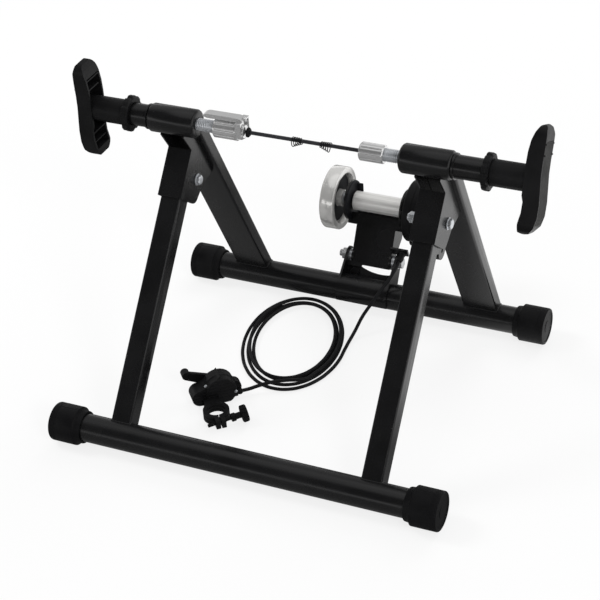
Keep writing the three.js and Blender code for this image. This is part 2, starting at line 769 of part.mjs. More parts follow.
// One unbroken wire through a line of points, with a ring of corners at each point
function wire(points, diameter, ringSides) {
  const corners = [];
  const faces = [];
  const last = points.length - 1;
  let across = new THREE.Vector3(0, 0, 1);
  points.forEach((point, k) => {
    const along = points[Math.min(k + 1, last)].clone().sub(points[Math.max(k - 1, 0)]).normalize();
    across = across.clone().addScaledVector(along, -across.dot(along)).normalize();
    const up = along.clone().cross(across);
    for (let r = 0; r < ringSides; r += 1) {
      const turn = (2 * Math.PI * r) / ringSides;
      const reach = across.clone().multiplyScalar(Math.cos(turn)).addScaledVector(up, Math.sin(turn));
      corners.push(...point.clone().addScaledVector(reach, diameter / 2).toArray());
    }
  });
  for (let k = 0; k < last; k += 1) {
    for (let r = 0; r < ringSides; r += 1) {
      const [a, b] = [k * ringSides + r, k * ringSides + ((r + 1) % ringSides)];
      faces.push(a, b, a + ringSides, b, b + ringSides, a + ringSides);
    }
  }
  for (let r = 1; r < ringSides - 1; r += 1) {
    const far = last * ringSides;
    faces.push(0, r + 1, r, far, far + r, far + r + 1);
  }
  const geometry = new THREE.BufferGeometry();
  geometry.setAttribute('position', new THREE.Float32BufferAttribute(corners, 3));
  geometry.setIndex(faces);
  return solid(geometry);
}

// Least gap of a wire to itself, between points more than half a turn apart
function leastGap(points, diameter, stepsPerTurn) {
  let least = Infinity;
  for (let a = 0; a < points.length; a += 1) {
    for (let b = a + Math.floor(stepsPerTurn / 2); b < points.length; b += 1) {
      least = Math.min(least, points[a].distanceTo(points[b]) - diameter);
    }
  }
  return least;
}

const rodEnd = rightCupMouth + skewerNutLength + seat;
piece('skewer_head', atAxle(skewerHead()), chrome);
piece('skewer_lever', atAxle(skewerLever()), chrome);
const rodStart = headMouth + skewerHeadLength + seat;
piece('skewer_rod', atAxle(rod(skewerRadius, rodStart, rodEnd, smallSteps)), steel);
const washerStart = rodStart + skewerRadius;
const washer = tube(skewerRadius + seat, skewerWasherRadius, washerStart, washerStart + skewerWasher);
piece('skewer_washer', atAxle(washer), blackPlastic);
const nut = tube(skewerRadius + seat, skewerNutRadius, rightCupMouth + seat, rightCupMouth + skewerNutLength);
piece('skewer_nut', atAxle(nut), chrome);
for (const [hand, share] of [['left', leftSpringShare], ['right', rightSpringShare]]) {
  const points = coneSpring(share * (leftCupMouth + rightCupMouth) - leftCupMouth);
  const spring = wire(points, springWire, springSides);
  console.log(`spring ${hand}: least gap ${leastGap(points, springWire, springSteps).toFixed(2)} mm`);
  piece(`skewer_spring_${hand}`, moved(atAxle(spring), 0, 0, springWire - springSag), steel);
}

// Resistance unit: places behind the plane of its web (n) and up along it from the roller (s)
const web = leaningLine(rollerY, rollerHeight, webLean, webSetback);
const atRoller = (body) => moved(body, 0, rollerY, rollerHeight);
const atPivot = (body) => moved(body, 0, unitPivotY, unitPivotHeight);
const earOuter = earSpan / 2;
const lowEar = bracketWidth / 2;

function webPlate(from, to, width) {
  const corners = [web.at(0, -from), web.at(0, -to), web.at(bracketSteel, -to), web.at(bracketSteel, -from)];
  return slab(outline(corners), width);
}

function bracketBody() {
  let body = webPlate(webBottom, webLedge, bracketWidth).add(webPlate(webLedge, webTop, earSpan));
  const pivotHole = atPivot(rod(pivotBoltRadius + seat, -earSpan, earSpan, smallSteps));
  const ledge = webLedge + bracketSteel;
  for (const side of [-1, 1]) {
    const low = side * (lowEar - bracketSteel / 2);
    const high = side * (earOuter - bracketSteel / 2);
    const cheek = slab(outline([
      web.at(0, -webBottom), web.at(0, -webLedge), web.at(earDepth, -webLedge),
      web.at(earDepth, -ledge - pivotEarRadius), web.at(pivotEarRadius, -webBottom),
    ]), bracketSteel, low);
    const eye = atPivot(rod(pivotEarRadius, low - bracketSteel / 2, low + bracketSteel / 2));
    const disc = atRoller(rod(earRadius, high - bracketSteel / 2, high + bracketSteel / 2));
    const shelf = slab(outline([
      web.at(0, -ledge), web.at(0, -webLedge), web.at(earDepth, -webLedge), web.at(earDepth, -ledge),
    ]), earOuter - lowEar + bracketSteel, (side * (earOuter + lowEar - bracketSteel)) / 2);
    const root = slab(outline([
      web.at(0, -ledge), web.at(0, -webTop), web.at(earDepth, -webTop), web.at(earDepth, -ledge),
    ]), bracketSteel, high);
    body = body.add(cheek).add(eye).add(disc).add(shelf).add(root);
  }
  const bore = atRoller(rod(shaftRadius + running, -earSpan, earSpan));
  return body.add(adjusterTab()).subtract(bore).subtract(pivotHole).subtract(adjusterBore());
}

const [adjusterY, adjusterZ] = web.at(adjusterBehind, -adjusterDown);

// Turns a body drawn along X to point down along the cable adjuster
function alongAdjuster(body) {
  return body.rotate([0, 0, -90]).rotate([adjusterSlope, 0, 0]).translate([adjusterPlace, adjusterY, adjusterZ]);
}

function adjusterTab() {
  const width = adjusterPlace + adjusterRadius + bracketSteel - lowEar + bracketSteel;
  const plate = new THREE.BoxGeometry(width, bracketSteel, 2 * adjusterRadius + cheekWall);
  const shift = lowEar - bracketSteel + width / 2 - adjusterPlace;
  const turned = solid(plate).rotate([adjusterSlope, 0, 0]);
  return turned.translate([adjusterPlace + shift, adjusterY, adjusterZ]);
}

function adjusterBore() {
  return alongAdjuster(rod(cableDiameter / 2 + seat, -adjusterLength, adjusterLength, smallSteps));
}

function adjusterBody() {
  const start = bracketSteel / 2 + seat;
  const step = adjusterLength / 4;
  const end = start + adjusterLength;
  const groove = adjusterRadius * washerShare;
  return alongAdjuster(turned([
    [start, 0], [start, adjusterRadius], [start + step, adjusterRadius], [start + step, groove],
    [start + 2 * step, groove], [start + 2 * step, adjusterRadius], [end - step, adjusterRadius],
    [end, cableDiameter / 2 + cheekWall / 2], [end, 0],
  ], smallSteps));
}

function flywheelBody() {
  const right = -flywheelPlace;
  const left = right - flywheelWidth;
  const rim = flywheelRadius - flywheelRim;
  const bore = shaftRadius + seat;
  const dish = flywheelRecess / 2;
  const edge = flywheelRim / 6;
  return atRoller(turned([
    [left, flywheelRadius - edge], [left + edge, flywheelRadius], [right - edge, flywheelRadius],
    [right, flywheelRadius - edge], [right, rim], [right - flywheelRecess, rim - edge],
    [right - flywheelRecess, flywheelHub], [right, flywheelHub - edge], [right, bore], [left, bore],
    [left, flywheelHub], [left + dish, flywheelHub], [left + dish, rim], [left, rim],
    [left, flywheelRadius - edge],
  ], wheelSteps));
}

function rollerBody() {
  const half = rollerLength / 2;
  const bore = shaftRadius + seat;
  const edge = shaftRadius / 5;
  return atRoller(turned([
    [-half, bore], [-half, rollerRadius - edge], [edge - half, rollerRadius], [half - edge, rollerRadius],
    [half, rollerRadius - edge], [half, bore], [-half, bore],
  ]));
}

// Dish of the magnetic brake, fixed to the right ear by its hub
function housingBody() {
  const open = housingPlace + housingWidth;
  const floor = housingPlace + housingWall;
  const bore = shaftRadius + running;
  return atRoller(turned([
    [earOuter + seat, bore], [earOuter + seat, bossRadius], [housingPlace, bossRadius],
    [housingPlace, housingRadius - housingWall], [floor, housingRadius], [open, housingRadius],
    [open, housingRadius - housingWall], [floor, housingRadius - housingWall], [floor, bore],
    [earOuter + seat, bore],
  ], wheelSteps));
}

function rotorBody() {
  const start = housingPlace + housingWidth - rotorThickness * 2;
  return atRoller(tube(shaftRadius + seat, rotorRadius, start, start + rotorThickness, wheelSteps));
}

// Magnet carrier: a domed cover over the rotor with an arm for the cable
function carrierBody() {
  const start = housingPlace + housingWidth + seat;
  const end = start + carrierWidth;
  const edge = carrierWidth / 5;
  const cover = turned([
    [start, 0], [start, housingRadius], [start + edge, housingRadius], [end - edge, housingRadius - 2 * edge],
    [end, housingRadius - 3 * edge], [end, bossRadius], [end - edge, bossRadius - edge], [end - edge, 0],
  ], wheelSteps);
  const reach = housingRadius + armReach;
  const arm = slab(roundedRectangle(armWidth, 2 * armReach, armWidth / 3), carrierWidth / 2);
  const placed = arm.translate([start + carrierWidth / 4, 0, armReach - reach]);
  return atRoller(cover.add(placed.rotate([-armTurn, 0, 0])));
}

function pivotBolt() {
  const face = saddleWidth / 2 + seat;
  const shank = rod(pivotBoltRadius, -face - pivotNutWidth - pivotTail, face, smallSteps);
  const flange = rod(pivotNutRadius, face, face + bracketSteel / 2);
  return atPivot(shank.add(flange).add(rod(pivotNutRadius * washerShare, face, face + pivotNutWidth, 6)));
}

function pivotNut() {
  const face = saddleWidth / 2 + seat;
  const body = rod(pivotNutRadius, -face - pivotNutWidth, -face, 6);
  const hole = rod(pivotBoltRadius + seat, -saddleWidth, 0, smallSteps);
  return atPivot(body.subtract(hole));
}

function spacerBody(side) {
  const start = lowEar + seat;
  const end = saddleWidth / 2 - saddleSteel - seat;
  return atPivot(toSide(tube(pivotBoltRadius + seat, spacerRadius, start, end), side));
}

// Saddle on the rear tube: a rolled plate with two ears for the pivot and a stop for the web
function saddleBody() {
  const inner = floorTubeRadius + seat;
  const outer = inner + saddleSteel;
  const half = saddleWidth / 2;
  const atTube = (body) => moved(body, 0, floorTubeSpacing, floorAxis);
  const far = 2 * outer;
  const edge = (degrees) => {
    const turn = THREE.MathUtils.degToRad(degrees);
    return [far * Math.cos(turn), far * Math.sin(turn)];
  };
  const [from, to] = saddleWrap;
  const below = outline([[0, 0], edge(from), [far, -far], [0, -far], [-far, -far], edge(to)]);
  const gone = slab(below, 2 * saddleWidth);
  let body = atTube(tube(inner, outer, -half, half).subtract(gone));
  const away = new THREE.Vector2(unitPivotY - floorTubeSpacing, unitPivotHeight - floorAxis).normalize();
  const side = new THREE.Vector2(-away.y, away.x);
  const place = (y, z, radius) => [y + side.x * radius, z + side.y * radius];
  for (const hand of [-1, 1]) {
    const centre = hand * (half - saddleSteel / 2);
    const strap = slab(outline([
      place(floorTubeSpacing, floorAxis, outer), place(unitPivotY, unitPivotHeight, pivotEarRadius),
      place(unitPivotY, unitPivotHeight, -pivotEarRadius), place(floorTubeSpacing, floorAxis, -outer * washerShare),
    ]), saddleSteel, centre);
    const eye = atPivot(rod(pivotEarRadius, centre - saddleSteel / 2, centre + saddleSteel / 2));
    body = body.add(strap).add(eye);
  }
  const foot = new THREE.Vector2(rollerY - floorTubeSpacing, rollerHeight - floorAxis).dot(web.along);
  const tab = slab(outline([
    web.at(0, -webBottom - seat), web.at(0, outer - foot - saddleSteel),
    web.at(saddleSteel, outer - foot - saddleSteel), web.at(saddleSteel, -webBottom - seat),
  ]), stopTabWidth, (stopTabWidth + 2 * saddleSteel - saddleWidth) / 2);
  const [low, high] = [lowEar - bracketSteel - running, half - saddleSteel];
  const relief = atPivot(rod(pivotEarRadius + running, -high, -low));
  body = body.add(tab).subtract(relief).subtract(atTube(rod(inner, -saddleWidth, saddleWidth)));
  return body.subtract(atPivot(rod(pivotBoltRadius + seat, -saddleWidth, saddleWidth, smallSteps)));
}

piece('unit_saddle', saddleBody(), blackPaint);
piece('unit_bracket', bracketBody(), blackPaint);
const bearingEnd = -earOuter - seat;
const bearing = tube(shaftRadius + running, bossRadius, bearingEnd - bossWidth, bearingEnd);
piece('bearing_left', atRoller(bearing), aluminium);
piece('roller', rollerBody(), aluminium);
const shaftEnd = housingPlace + housingWidth - seat;
piece('roller_shaft', atRoller(rod(shaftRadius, -flywheelPlace - flywheelWidth - bracketSteel, shaftEnd)), steel);
piece('flywheel', flywheelBody(), chrome);
piece('rotor_disc', rotorBody(), aluminium);
piece('magnet_housing', housingBody(), blackPlastic);
piece('magnet_carrier', carrierBody(), blackPlastic);
piece('pivot_bolt', pivotBolt(), zinc);
piece('pivot_nut', pivotNut(), zinc);
for (const [hand, side] of sides) piece(`pivot_spacer_${hand}`, spacerBody(side), steel);
piece('cable_adjuster', adjusterBody(), blackPlastic);

// Cable: a free lead, a coil lying on the floor and a free tail to the shifter
function cableTube(points) {
  const curve = new THREE.CatmullRomCurve3(points.map((point) => new THREE.Vector3(...point)), false, 'centripetal');
  const section = new THREE.Shape();
  for (let k = 0; k < tubeSides; k += 1) {
    const turn = (2 * Math.PI * k) / tubeSides;
    const corner = [(Math.cos(turn) * cableDiameter) / 2, (Math.sin(turn) * cableDiameter) / 2];
    if (k === 0) section.moveTo(...corner);
    else section.lineTo(...corner);
  }
  section.closePath();
  const steps = Math.ceil(curve.getLength() / cableStep);
  const settings = { steps, bevelEnabled: false, extrudePath: curve };
  return { body: solid(new THREE.ExtrudeGeometry(section, settings)), length: curve.getLength() };
}

function coilPoints() {
  const points = [];
  const count = Math.round(coilLoops * coilSteps);
  const lean = THREE.MathUtils.degToRad(coilTurn);
  for (let k = 0; k <= count; k += 1) {
    const loop = k / coilSteps;
    const spread = Math.abs(coilReverse - loop) / coilReverse;
    const climb = THREE.MathUtils.clamp(2 * (loop - coilReverse) + climbShare, 0, 1);
    const turn = THREE.MathUtils.degToRad(coilStart) - 2 * Math.PI * loop;
    const long = (coilLongInner + (coilLong - coilLongInner) * spread) * Math.cos(turn);
    const short = (coilShortInner + (coilShort - coilShortInner) * spread) * Math.sin(turn);
    points.push(new THREE.Vector3(
      coilCentre[0] + long * Math.cos(lean) - short * Math.sin(lean),
      coilCentre[1] + long * Math.sin(lean) + short * Math.cos(lean),
      cableRest + coilRise * climb));
  }
  const first = points[0].clone().sub(points[1]).setLength(cableDiameter);
  const last = points[count].clone().sub(points[count - 1]).setLength(cableDiameter);
  return [points[0].clone().add(first), ...points, points[count].clone().add(last)];
}

const coil = coilPoints();
const lead = cableTube(leadPoints);
const tail = cableTube(tailPoints);
const coilLength = coil.slice(1).reduce((sum, point, k) => sum + point.distanceTo(coil[k]), 0);
console.log(`coil: least gap to itself ${leastGap(coil, cableDiameter, coilSteps).toFixed(2)} mm`);
console.log(`cable: ${Math.round(lead.length + coilLength + tail.length)} mm long`);
piece('cable_lead', lead.body, cableBlack);
piece('cable_coil', wire(coil, cableDiameter, coilSides), cableBlack);
piece('cable_tail', tail.body, cableBlack);

// Shifter, drawn in its own frame: its pivot runs along Y and its clamp bore stands upright
const onFloor = (body) => body.rotate([0, 0, shifterYaw]).translate([...shifterPlace, 0]);
const acrossPod = (body) => body.rotate([0, 0, 90]).translate([podCentre, 0, podRise]);

// Where the cable's socket on the pod ends, level with the pod's side at the socket's top
function socketEnd() {
  const rise = podRise - barrelRise - barrelRadius;
  return podCentre + Math.sqrt(podRadius * podRadius - rise * rise);
}

function podBody() {
  const mid = (podFront + podBack) / 2;
  const rim = podRadius - podRib;
  const shell = acrossPod(turned([
    [podFront, 0], [podFront, rim - podRib], [podFront + podRib, rim], [mid - 3 * podRib, rim],
    [mid - 2 * podRib, podRadius], [mid + 2 * podRib, podRadius], [mid + 3 * podRib, rim],
    [podBack - podRib, rim], [podBack, rim - podRib], [podBack, 0],
  ]));
  const bulge = rod(bulgeRadius, podFront + 2 * podRib, podBack - 2 * podRib).rotate([0, 0, 90]);
  const root = slab(outline([
    [-bulgeReach, -bulgeRadius], [0, -bulgeRadius], [0, podRise + bulgeRadius], [-bulgeReach / 2, podRise],
    [-bulgeReach, bulgeRadius],
  ]), podBack - podFront - 4 * podRib, 0);
  const placed = root.rotate([0, 0, -90]).translate([podCentre, mid, bulgeRise]);
  const floorCut = new THREE.BoxGeometry(6 * podRadius, 6 * podRadius, 2 * podRadius);
  const socket = rod(barrelRadius + podRib, podCentre, socketEnd(), smallSteps);
  const lobe = rod(lobeRadius, lobeStart, podBack - 2 * podRib).rotate([0, 0, 90]);
  return shell.add(socket.translate([0, -barrelAside, barrelRise]))
    .add(bulge.translate([podCentre - bulgeReach, 0, bulgeRise])).add(placed)
    .add(lobe.translate([podCentre + lobeReach, 0, lobeRadius]))
    .subtract(solid(floorCut).translate([0, 0, -podRadius]));
}

function shifterLever() {
  const start = podBack + running;
  const end = start + leverPlate;
  const disc = turned([
    [start, 0], [start, leverDiscRadius], [end - podRib, leverDiscRadius], [end, leverDiscRadius - podRib],
    [end, leverDiscRadius / 2], [end + podRib, leverDiscRadius / 2 - podRib], [end + podRib, 0],
  ]);
  const paddle = rod(paddleRadius, start, start + paddleWidth, smallSteps);
  const away = new THREE.Vector2(-leverReach, leverLift);
  const side = new THREE.Vector2(-away.y, away.x).normalize();
  const corner = (share, radius) => [-(away.x * share + side.x * radius), away.y * share + side.y * radius];
  const arm = slab(outline([
    corner(0, leverDiscRadius * armShare), corner(1, paddleRadius), corner(1, -paddleRadius),
    corner(0, -leverDiscRadius * armShare),
  ]), leverPlate, (start + end) / 2);
  const tip = paddle.translate([0, leverReach, leverLift]);
  return acrossPod(disc.add(arm).add(tip));
}

function clampBody() {
  const middle = podFront - seat - clampNeck - clampRadius;
  const ring = tube(clampBore, clampRadius, 0, clampHeight).rotate([0, -90, 0]);
  const ears = new THREE.BoxGeometry(clampEarWidth, clampEar + clampRadius - clampBore, clampHeight);
  const slit = new THREE.BoxGeometry(clampSlit, 2 * clampRadius, 3 * clampHeight);
  const placed = solid(ears).translate([0, -(clampRadius + clampBore + clampEar) / 2, clampHeight / 2]);
  const reach = clampNeck + clampRadius - clampBore;
  const neck = new THREE.BoxGeometry(clampNeckWidth, reach, clampHeight);
  const neckPlaced = solid(neck).translate([0, clampBore + reach / 2, clampHeight / 2]);
  const bore = rod(clampBore, -clampHeight, 2 * clampHeight).rotate([0, -90, 0]);
  const body = ring.add(placed).add(neckPlaced).subtract(bore)
    .subtract(solid(slit).translate([0, -clampRadius - clampBore, 0]));
  return knobCut(body.translate([clampCentre, middle, 0]));
}

const knobAside = podFront - seat - clampNeck - 2 * clampRadius - clampEar / 2;
function alongKnob(body) {
  const rise = knobRadius + seat - knobPlace * Math.tan(THREE.MathUtils.degToRad(knobScrewTilt));
  return body.rotate([0, -knobScrewTilt, 0]).translate([clampCentre, knobAside, rise]);
}

function knobCut(body) {
  return body.subtract(alongKnob(rod(knobScrewRadius + seat, -clampRadius, clampRadius, smallSteps)));
}

function knobBody() {
  const end = knobPlace + knobWidth;
  let head = turned([
    [knobPlace, 0], [knobPlace, knobRadius - podRib], [knobPlace + podRib, knobRadius], [end - podRib, knobRadius],
    [end, knobRadius - podRib], [end, 0],
  ]);
  for (let k = 0; k < knobLobes; k += 1) {
    const turn = (2 * Math.PI * k) / knobLobes;
    const notch = rod(podRib, knobPlace - overrun, end + overrun, 6);
    head = head.subtract(moved(notch, 0, knobRadius * Math.cos(turn), knobRadius * Math.sin(turn)));
  }
  const collar = rod(2 * knobScrewRadius, clampEarWidth, knobPlace, smallSteps);
  return alongKnob(head.add(collar).add(rod(knobScrewRadius, -knobScrewTail, knobPlace, smallSteps)));
}

function barrelBody() {
  const start = socketEnd() + seat;
  const step = barrelLength / 3;
  const body = turned([
    [start, 0], [start, barrelRadius * washerShare], [start + step, barrelRadius * washerShare],
    [start + step, barrelRadius], [start + 2 * step, barrelRadius],
    [start + barrelLength, cableDiameter / 2 + seat], [start + barrelLength, 0],
  ], smallSteps);
  return body.translate([0, -barrelAside, barrelRise]);
}

piece('shifter_pod', onFloor(podBody()), blackPlastic);
piece('shifter_lever', onFloor(shifterLever()), blackPlastic);
piece('shifter_clamp', onFloor(clampBody()), blackPlastic);
piece('shifter_knob', onFloor(knobBody()), blackPlastic);
piece('shifter_barrel', onFloor(barrelBody()), blackPlastic);

// The origin is at the middle of the floor area that the trainer takes
const reachRight = gripWallPlace + handleDepth;
const reachLeft = gripWallPlace - leftScrewedIn + handleDepth;
trainer.position.x = (reachLeft - reachRight) / 2;
trainer.position.y = (capRadius - rollerY - flywheelRadius) / 2;

export default trainer;
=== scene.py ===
import math

import bmesh
import bpy
from mathutils import Matrix, Vector


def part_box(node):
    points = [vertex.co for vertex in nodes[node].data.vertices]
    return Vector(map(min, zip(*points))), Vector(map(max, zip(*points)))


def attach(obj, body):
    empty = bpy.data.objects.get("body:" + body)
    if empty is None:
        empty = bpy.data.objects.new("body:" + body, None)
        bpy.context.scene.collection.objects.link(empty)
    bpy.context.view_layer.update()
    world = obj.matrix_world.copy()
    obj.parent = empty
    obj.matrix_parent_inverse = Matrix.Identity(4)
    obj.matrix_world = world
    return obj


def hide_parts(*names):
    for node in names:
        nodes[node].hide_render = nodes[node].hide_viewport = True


# Bicycle turbo trainer. Sizes are in millimetres: X along the axle, Y from the front floor tube
# to the rear one, Z up from the floor. place() turns them into the frame's metres.
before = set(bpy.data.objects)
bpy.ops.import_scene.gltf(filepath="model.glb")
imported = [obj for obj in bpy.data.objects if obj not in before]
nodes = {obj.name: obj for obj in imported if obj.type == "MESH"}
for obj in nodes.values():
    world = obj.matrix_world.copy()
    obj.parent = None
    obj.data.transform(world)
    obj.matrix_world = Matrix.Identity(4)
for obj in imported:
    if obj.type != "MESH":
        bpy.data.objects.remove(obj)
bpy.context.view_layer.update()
MM = 0.001
TURN = 2 * math.pi

low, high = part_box("front_floor_tube")
ORIGIN = Vector(((low.x + high.x) / 2, (low.y + high.y) / 2, 0))


def place(x, y, z):
    return ORIGIN + Vector((x, y, z)) * MM


def middle(name):
    """The middle of a node's box."""
    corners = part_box(name)
    return [round(value / MM, 3) for value in (corners[0] + corners[1]) / 2 - ORIGIN]


def ends(name, side=1):
    """Where a node starts and ends along X, or along -X with side -1."""
    return sorted(round(side * (corner.x - ORIGIN.x) / MM, 3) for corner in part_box(name))


def radius_of(name):
    """The radius of a round node that lies along X."""
    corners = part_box(name)
    return round((corners[1].z - corners[0].z) / 2 / MM, 3)


# Places and sizes that several pieces share
_, REAR_Y, FLOOR_AXIS = middle("rear_floor_tube")
_, AXLE_Y, AXLE_Z = middle("head_tube_right")
_, ROLLER_Y, ROLLER_Z = middle("roller")
_, FOLD_Y, FOLD_Z = middle("fold_bolt_right")
LEG_X = middle("front_leg_right")[0]
TUBE_RADIUS = radius_of("front_floor_tube")
HEAD_INNER, HEAD_OUTER = ends("head_tube_right")
SEAT = 0.3
SIDES = (("left", -1), ("right", 1))


# Camera at the photograph's viewing angle, placed in metres
camera_data = bpy.data.cameras.new("camera")
camera_data.sensor_width = 36
camera_data.lens = 110.82
camera_data.clip_end = 60
camera = bpy.data.objects.new("camera", camera_data)
bpy.context.scene.collection.objects.link(camera)
camera_place = Vector((0.89606, -1.86299, 1.51167))
camera_right = Vector((0.911367, 0.406886, -0.062089))
camera_up = Vector((-0.180846, 0.531361, 0.827617))
camera_axes = Matrix((camera_right, camera_up, camera_right.cross(camera_up))).transposed()
camera.matrix_world = Matrix.Translation(camera_place) @ camera_axes.to_4x4()
bpy.context.scene.camera = camera


# Node trees
def calculate(tree, operation, first, second):
    """A Math node whose inputs are sockets or plain numbers."""
    node = tree.nodes.new("ShaderNodeMath")
    node.operation = operation
    for socket, value in zip(node.inputs, (first, second)):
        if isinstance(value, (int, float)):
            socket.default_value = value
        else:
            tree.links.new(value, socket)
    return node.outputs[0]


def mixed(tree, share, first, second):
    """The first shader where share is 0 and the second where it is 1."""
    node = tree.nodes.new("ShaderNodeMixShader")
    tree.links.new(share, node.inputs["Fac"])
    tree.links.new(first, node.inputs[1])
    tree.links.new(second, node.inputs[2])
    return node.outputs[0]


def split_axes(tree, kind):
    """The three coordinates of a place or direction, by their letters."""
    coords = tree.nodes.new("ShaderNodeTexCoord")
    split = tree.nodes.new("ShaderNodeSeparateXYZ")
    tree.links.new(coords.outputs[kind], split.inputs[0])
    return split.outputs


def noise(tree, scale, detail=4.0, stretch=(1, 1, 1), kind="ShaderNodeTexNoise"):
    coords = tree.nodes.new("ShaderNodeTexCoord")
    mapping = tree.nodes.new("ShaderNodeMapping")
    mapping.inputs["Scale"].default_value = stretch
    texture = tree.nodes.new(kind)
    texture.inputs["Scale"].default_value = scale
    if "Detail" in texture.inputs:
        texture.inputs["Detail"].default_value = detail
    tree.links.new(coords.outputs["Object"], mapping.inputs["Vector"])
    tree.links.new(mapping.outputs["Vector"], texture.inputs["Vector"])
    return texture


def spread(tree, source, first, second, start=0.3, stop=0.7, smooth=False):
    """A value that goes from first to second while the source goes from start to stop."""
    node = tree.nodes.new("ShaderNodeMapRange")
    if smooth:
        node.interpolation_type = "SMOOTHSTEP"
    node.inputs["From Min"].default_value = start
    node.inputs["From Max"].default_value = stop
    node.inputs["To Min"].default_value = first
    node.inputs["To Max"].default_value = second
    tree.links.new(source, node.inputs["Value"])
    return node.outputs["Result"]


def tint(tree, source, first, second, start=0.35, stop=0.65):
    """A colour that goes from first to second while the source goes from start to stop."""
    ramp = tree.nodes.new("ShaderNodeValToRGB")
    ramp.color_ramp.elements[0].position = start
    ramp.color_ramp.elements[0].color = (*first, 1)
    ramp.color_ramp.elements[1].position = stop
    ramp.color_ramp.elements[1].color = (*second, 1)
    tree.links.new(source, ramp.inputs["Fac"])
    return ramp.outputs["Color"]


def bump(tree, bsdf, source, depth, strength=1.0, under=None):
    node = tree.nodes.new("ShaderNodeBump")
    node.inputs["Strength"].default_value = strength
    node.inputs["Distance"].default_value = depth
    tree.links.new(source, node.inputs["Height"])
    if under is not None:
        tree.links.new(under.outputs["Normal"], node.inputs["Normal"])
    tree.links.new(node.outputs["Normal"], bsdf.inputs["Normal"])
    return node


# Materials
def shader(name, colour, rough, metal=0.0, specular=0.5):
    mat = bpy.data.materials.new(name)
    mat.use_nodes = True
    tree = mat.node_tree
    bsdf = tree.nodes["Principled BSDF"]
    bsdf.inputs["Base Color"].default_value = (*colour, 1)
    bsdf.inputs["Roughness"].default_value = rough
    bsdf.inputs["Metallic"].default_value = metal
    bsdf.inputs["Specular IOR Level"].default_value = specular
    return mat, tree, bsdf


def plain_finish(name, first, second, rough, grain, depth, metal=0.0, specular=0.5):
    """Colour and gloss that vary in broad patches, over a fine grain."""
    mat, tree, bsdf = shader(name, first, rough[0], metal, specular)
    broad = noise(tree, 22, detail=3)
    fine = noise(tree, grain, detail=3)
    tree.links.new(tint(tree, broad.outputs["Fac"], first, second), bsdf.inputs["Base Color"])
    tree.links.new(spread(tree, broad.outputs["Fac"], *rough), bsdf.inputs["Roughness"])
    bump(tree, bsdf, fine.outputs["Fac"], depth)
    return mat


def lined_finish(name, first, second, rough, grain, depth, metal, stretch):
    """Colour, gloss and grain that run in lines, as on a turned metal piece."""
    mat, tree, bsdf = shader(name, first, rough[0], metal)
    lines = noise(tree, grain, detail=6, stretch=stretch)
    tree.links.new(tint(tree, lines.outputs["Fac"], first, second), bsdf.inputs["Base Color"])
    tree.links.new(spread(tree, lines.outputs["Fac"], *rough), bsdf.inputs["Roughness"])
    bump(tree, bsdf, lines.outputs["Fac"], depth, strength=0.6)
    return mat


def grip_finish():
    """Soft rubber with a pattern of small cells."""
    mat, tree, bsdf = shader("soft_grip", (0.06, 0.06, 0.058), 0.8, specular=0.3)
    cells = noise(tree, 560, kind="ShaderNodeTexVoronoi")
    broad = noise(tree, 40, detail=3)
    pale, dark = (0.2, 0.2, 0.195), (0.035, 0.035, 0.034)
    tree.links.new(tint(tree, cells.outputs["Distance"], pale, dark, start=0.1, stop=0.5),
                   bsdf.inputs["Base Color"])
    tree.links.new(spread(tree, broad.outputs["Fac"], 0.7, 0.9), bsdf.inputs["Roughness"])
    bump(tree, bsdf, cells.outputs["Distance"], 0.0004)
    return mat


def ribbed_finish():
    """The shifter's plastic, with ribs over a fine grain."""
    mat, tree, bsdf = shader("ribbed_plastic", (0.006, 0.006, 0.0065), 0.42, specular=0.2)
    wave = noise(tree, 62, kind="ShaderNodeTexWave")
    wave.bands_direction = "Z"
    fine = noise(tree, 1800, detail=3)
    broad = noise(tree, 30, detail=3)
    tree.links.new(tint(tree, broad.outputs["Fac"], (0.0045, 0.0045, 0.005), (0.009, 0.009, 0.0095)),
                   bsdf.inputs["Base Color"])
    tree.links.new(spread(tree, broad.outputs["Fac"], 0.38, 0.55), bsdf.inputs["Roughness"])
    grain = bump(tree, bsdf, fine.outputs["Fac"], 0.00008)
    bump(tree, bsdf, wave.outputs["Fac"], 0.0006, strength=0.7, under=grain)
    return mat


finishes = {
    "frame_paint": plain_finish(
        "frame_paint", (0.0045, 0.0045, 0.0048), (0.0065, 0.0065, 0.007), rough=(0.2, 0.3),
        grain=700, depth=0.00003),
    "black_plastic": plain_finish(
        "black_plastic", (0.0045, 0.0045, 0.0048), (0.008, 0.008, 0.0085), rough=(0.34, 0.5),
        grain=1700, depth=0.00009, specular=0.16),
    "cap_rubber": plain_finish(
        "cap_rubber", (0.0035, 0.0035, 0.004), (0.0065, 0.0065, 0.007), rough=(0.45, 0.62),
        grain=1300, depth=0.0001, specular=0.14),
    "soft_grip": grip_finish(),
    "chrome": plain_finish(
        "chrome", (0.82, 0.82, 0.82), (0.9, 0.9, 0.9), rough=(0.06, 0.12),
        grain=300, depth=0.00001, metal=0.85),
    "steel": plain_finish(
        "steel", (0.62, 0.64, 0.67), (0.72, 0.74, 0.77), rough=(0.2, 0.34),
        grain=900, depth=0.00003, metal=0.8),
    "zinc": plain_finish(
        "zinc", (0.6, 0.61, 0.62), (0.74, 0.75, 0.76), rough=(0.25, 0.4),
        grain=800, depth=0.00004, metal=0.8),
    "aluminium": lined_finish(
        "aluminium", (0.78, 0.77, 0.75), (0.95, 0.94, 0.92), rough=(0.28, 0.4),
        grain=420, depth=0.00003, metal=0.5, stretch=(0.012, 1, 1)),
    "cable_cover": plain_finish(
        "cable_cover", (0.007, 0.007, 0.0075), (0.011, 0.011, 0.012), rough=(0.3, 0.45),
        grain=1500, depth=0.00006, specular=0.14),
}
ribbed = ribbed_finish()
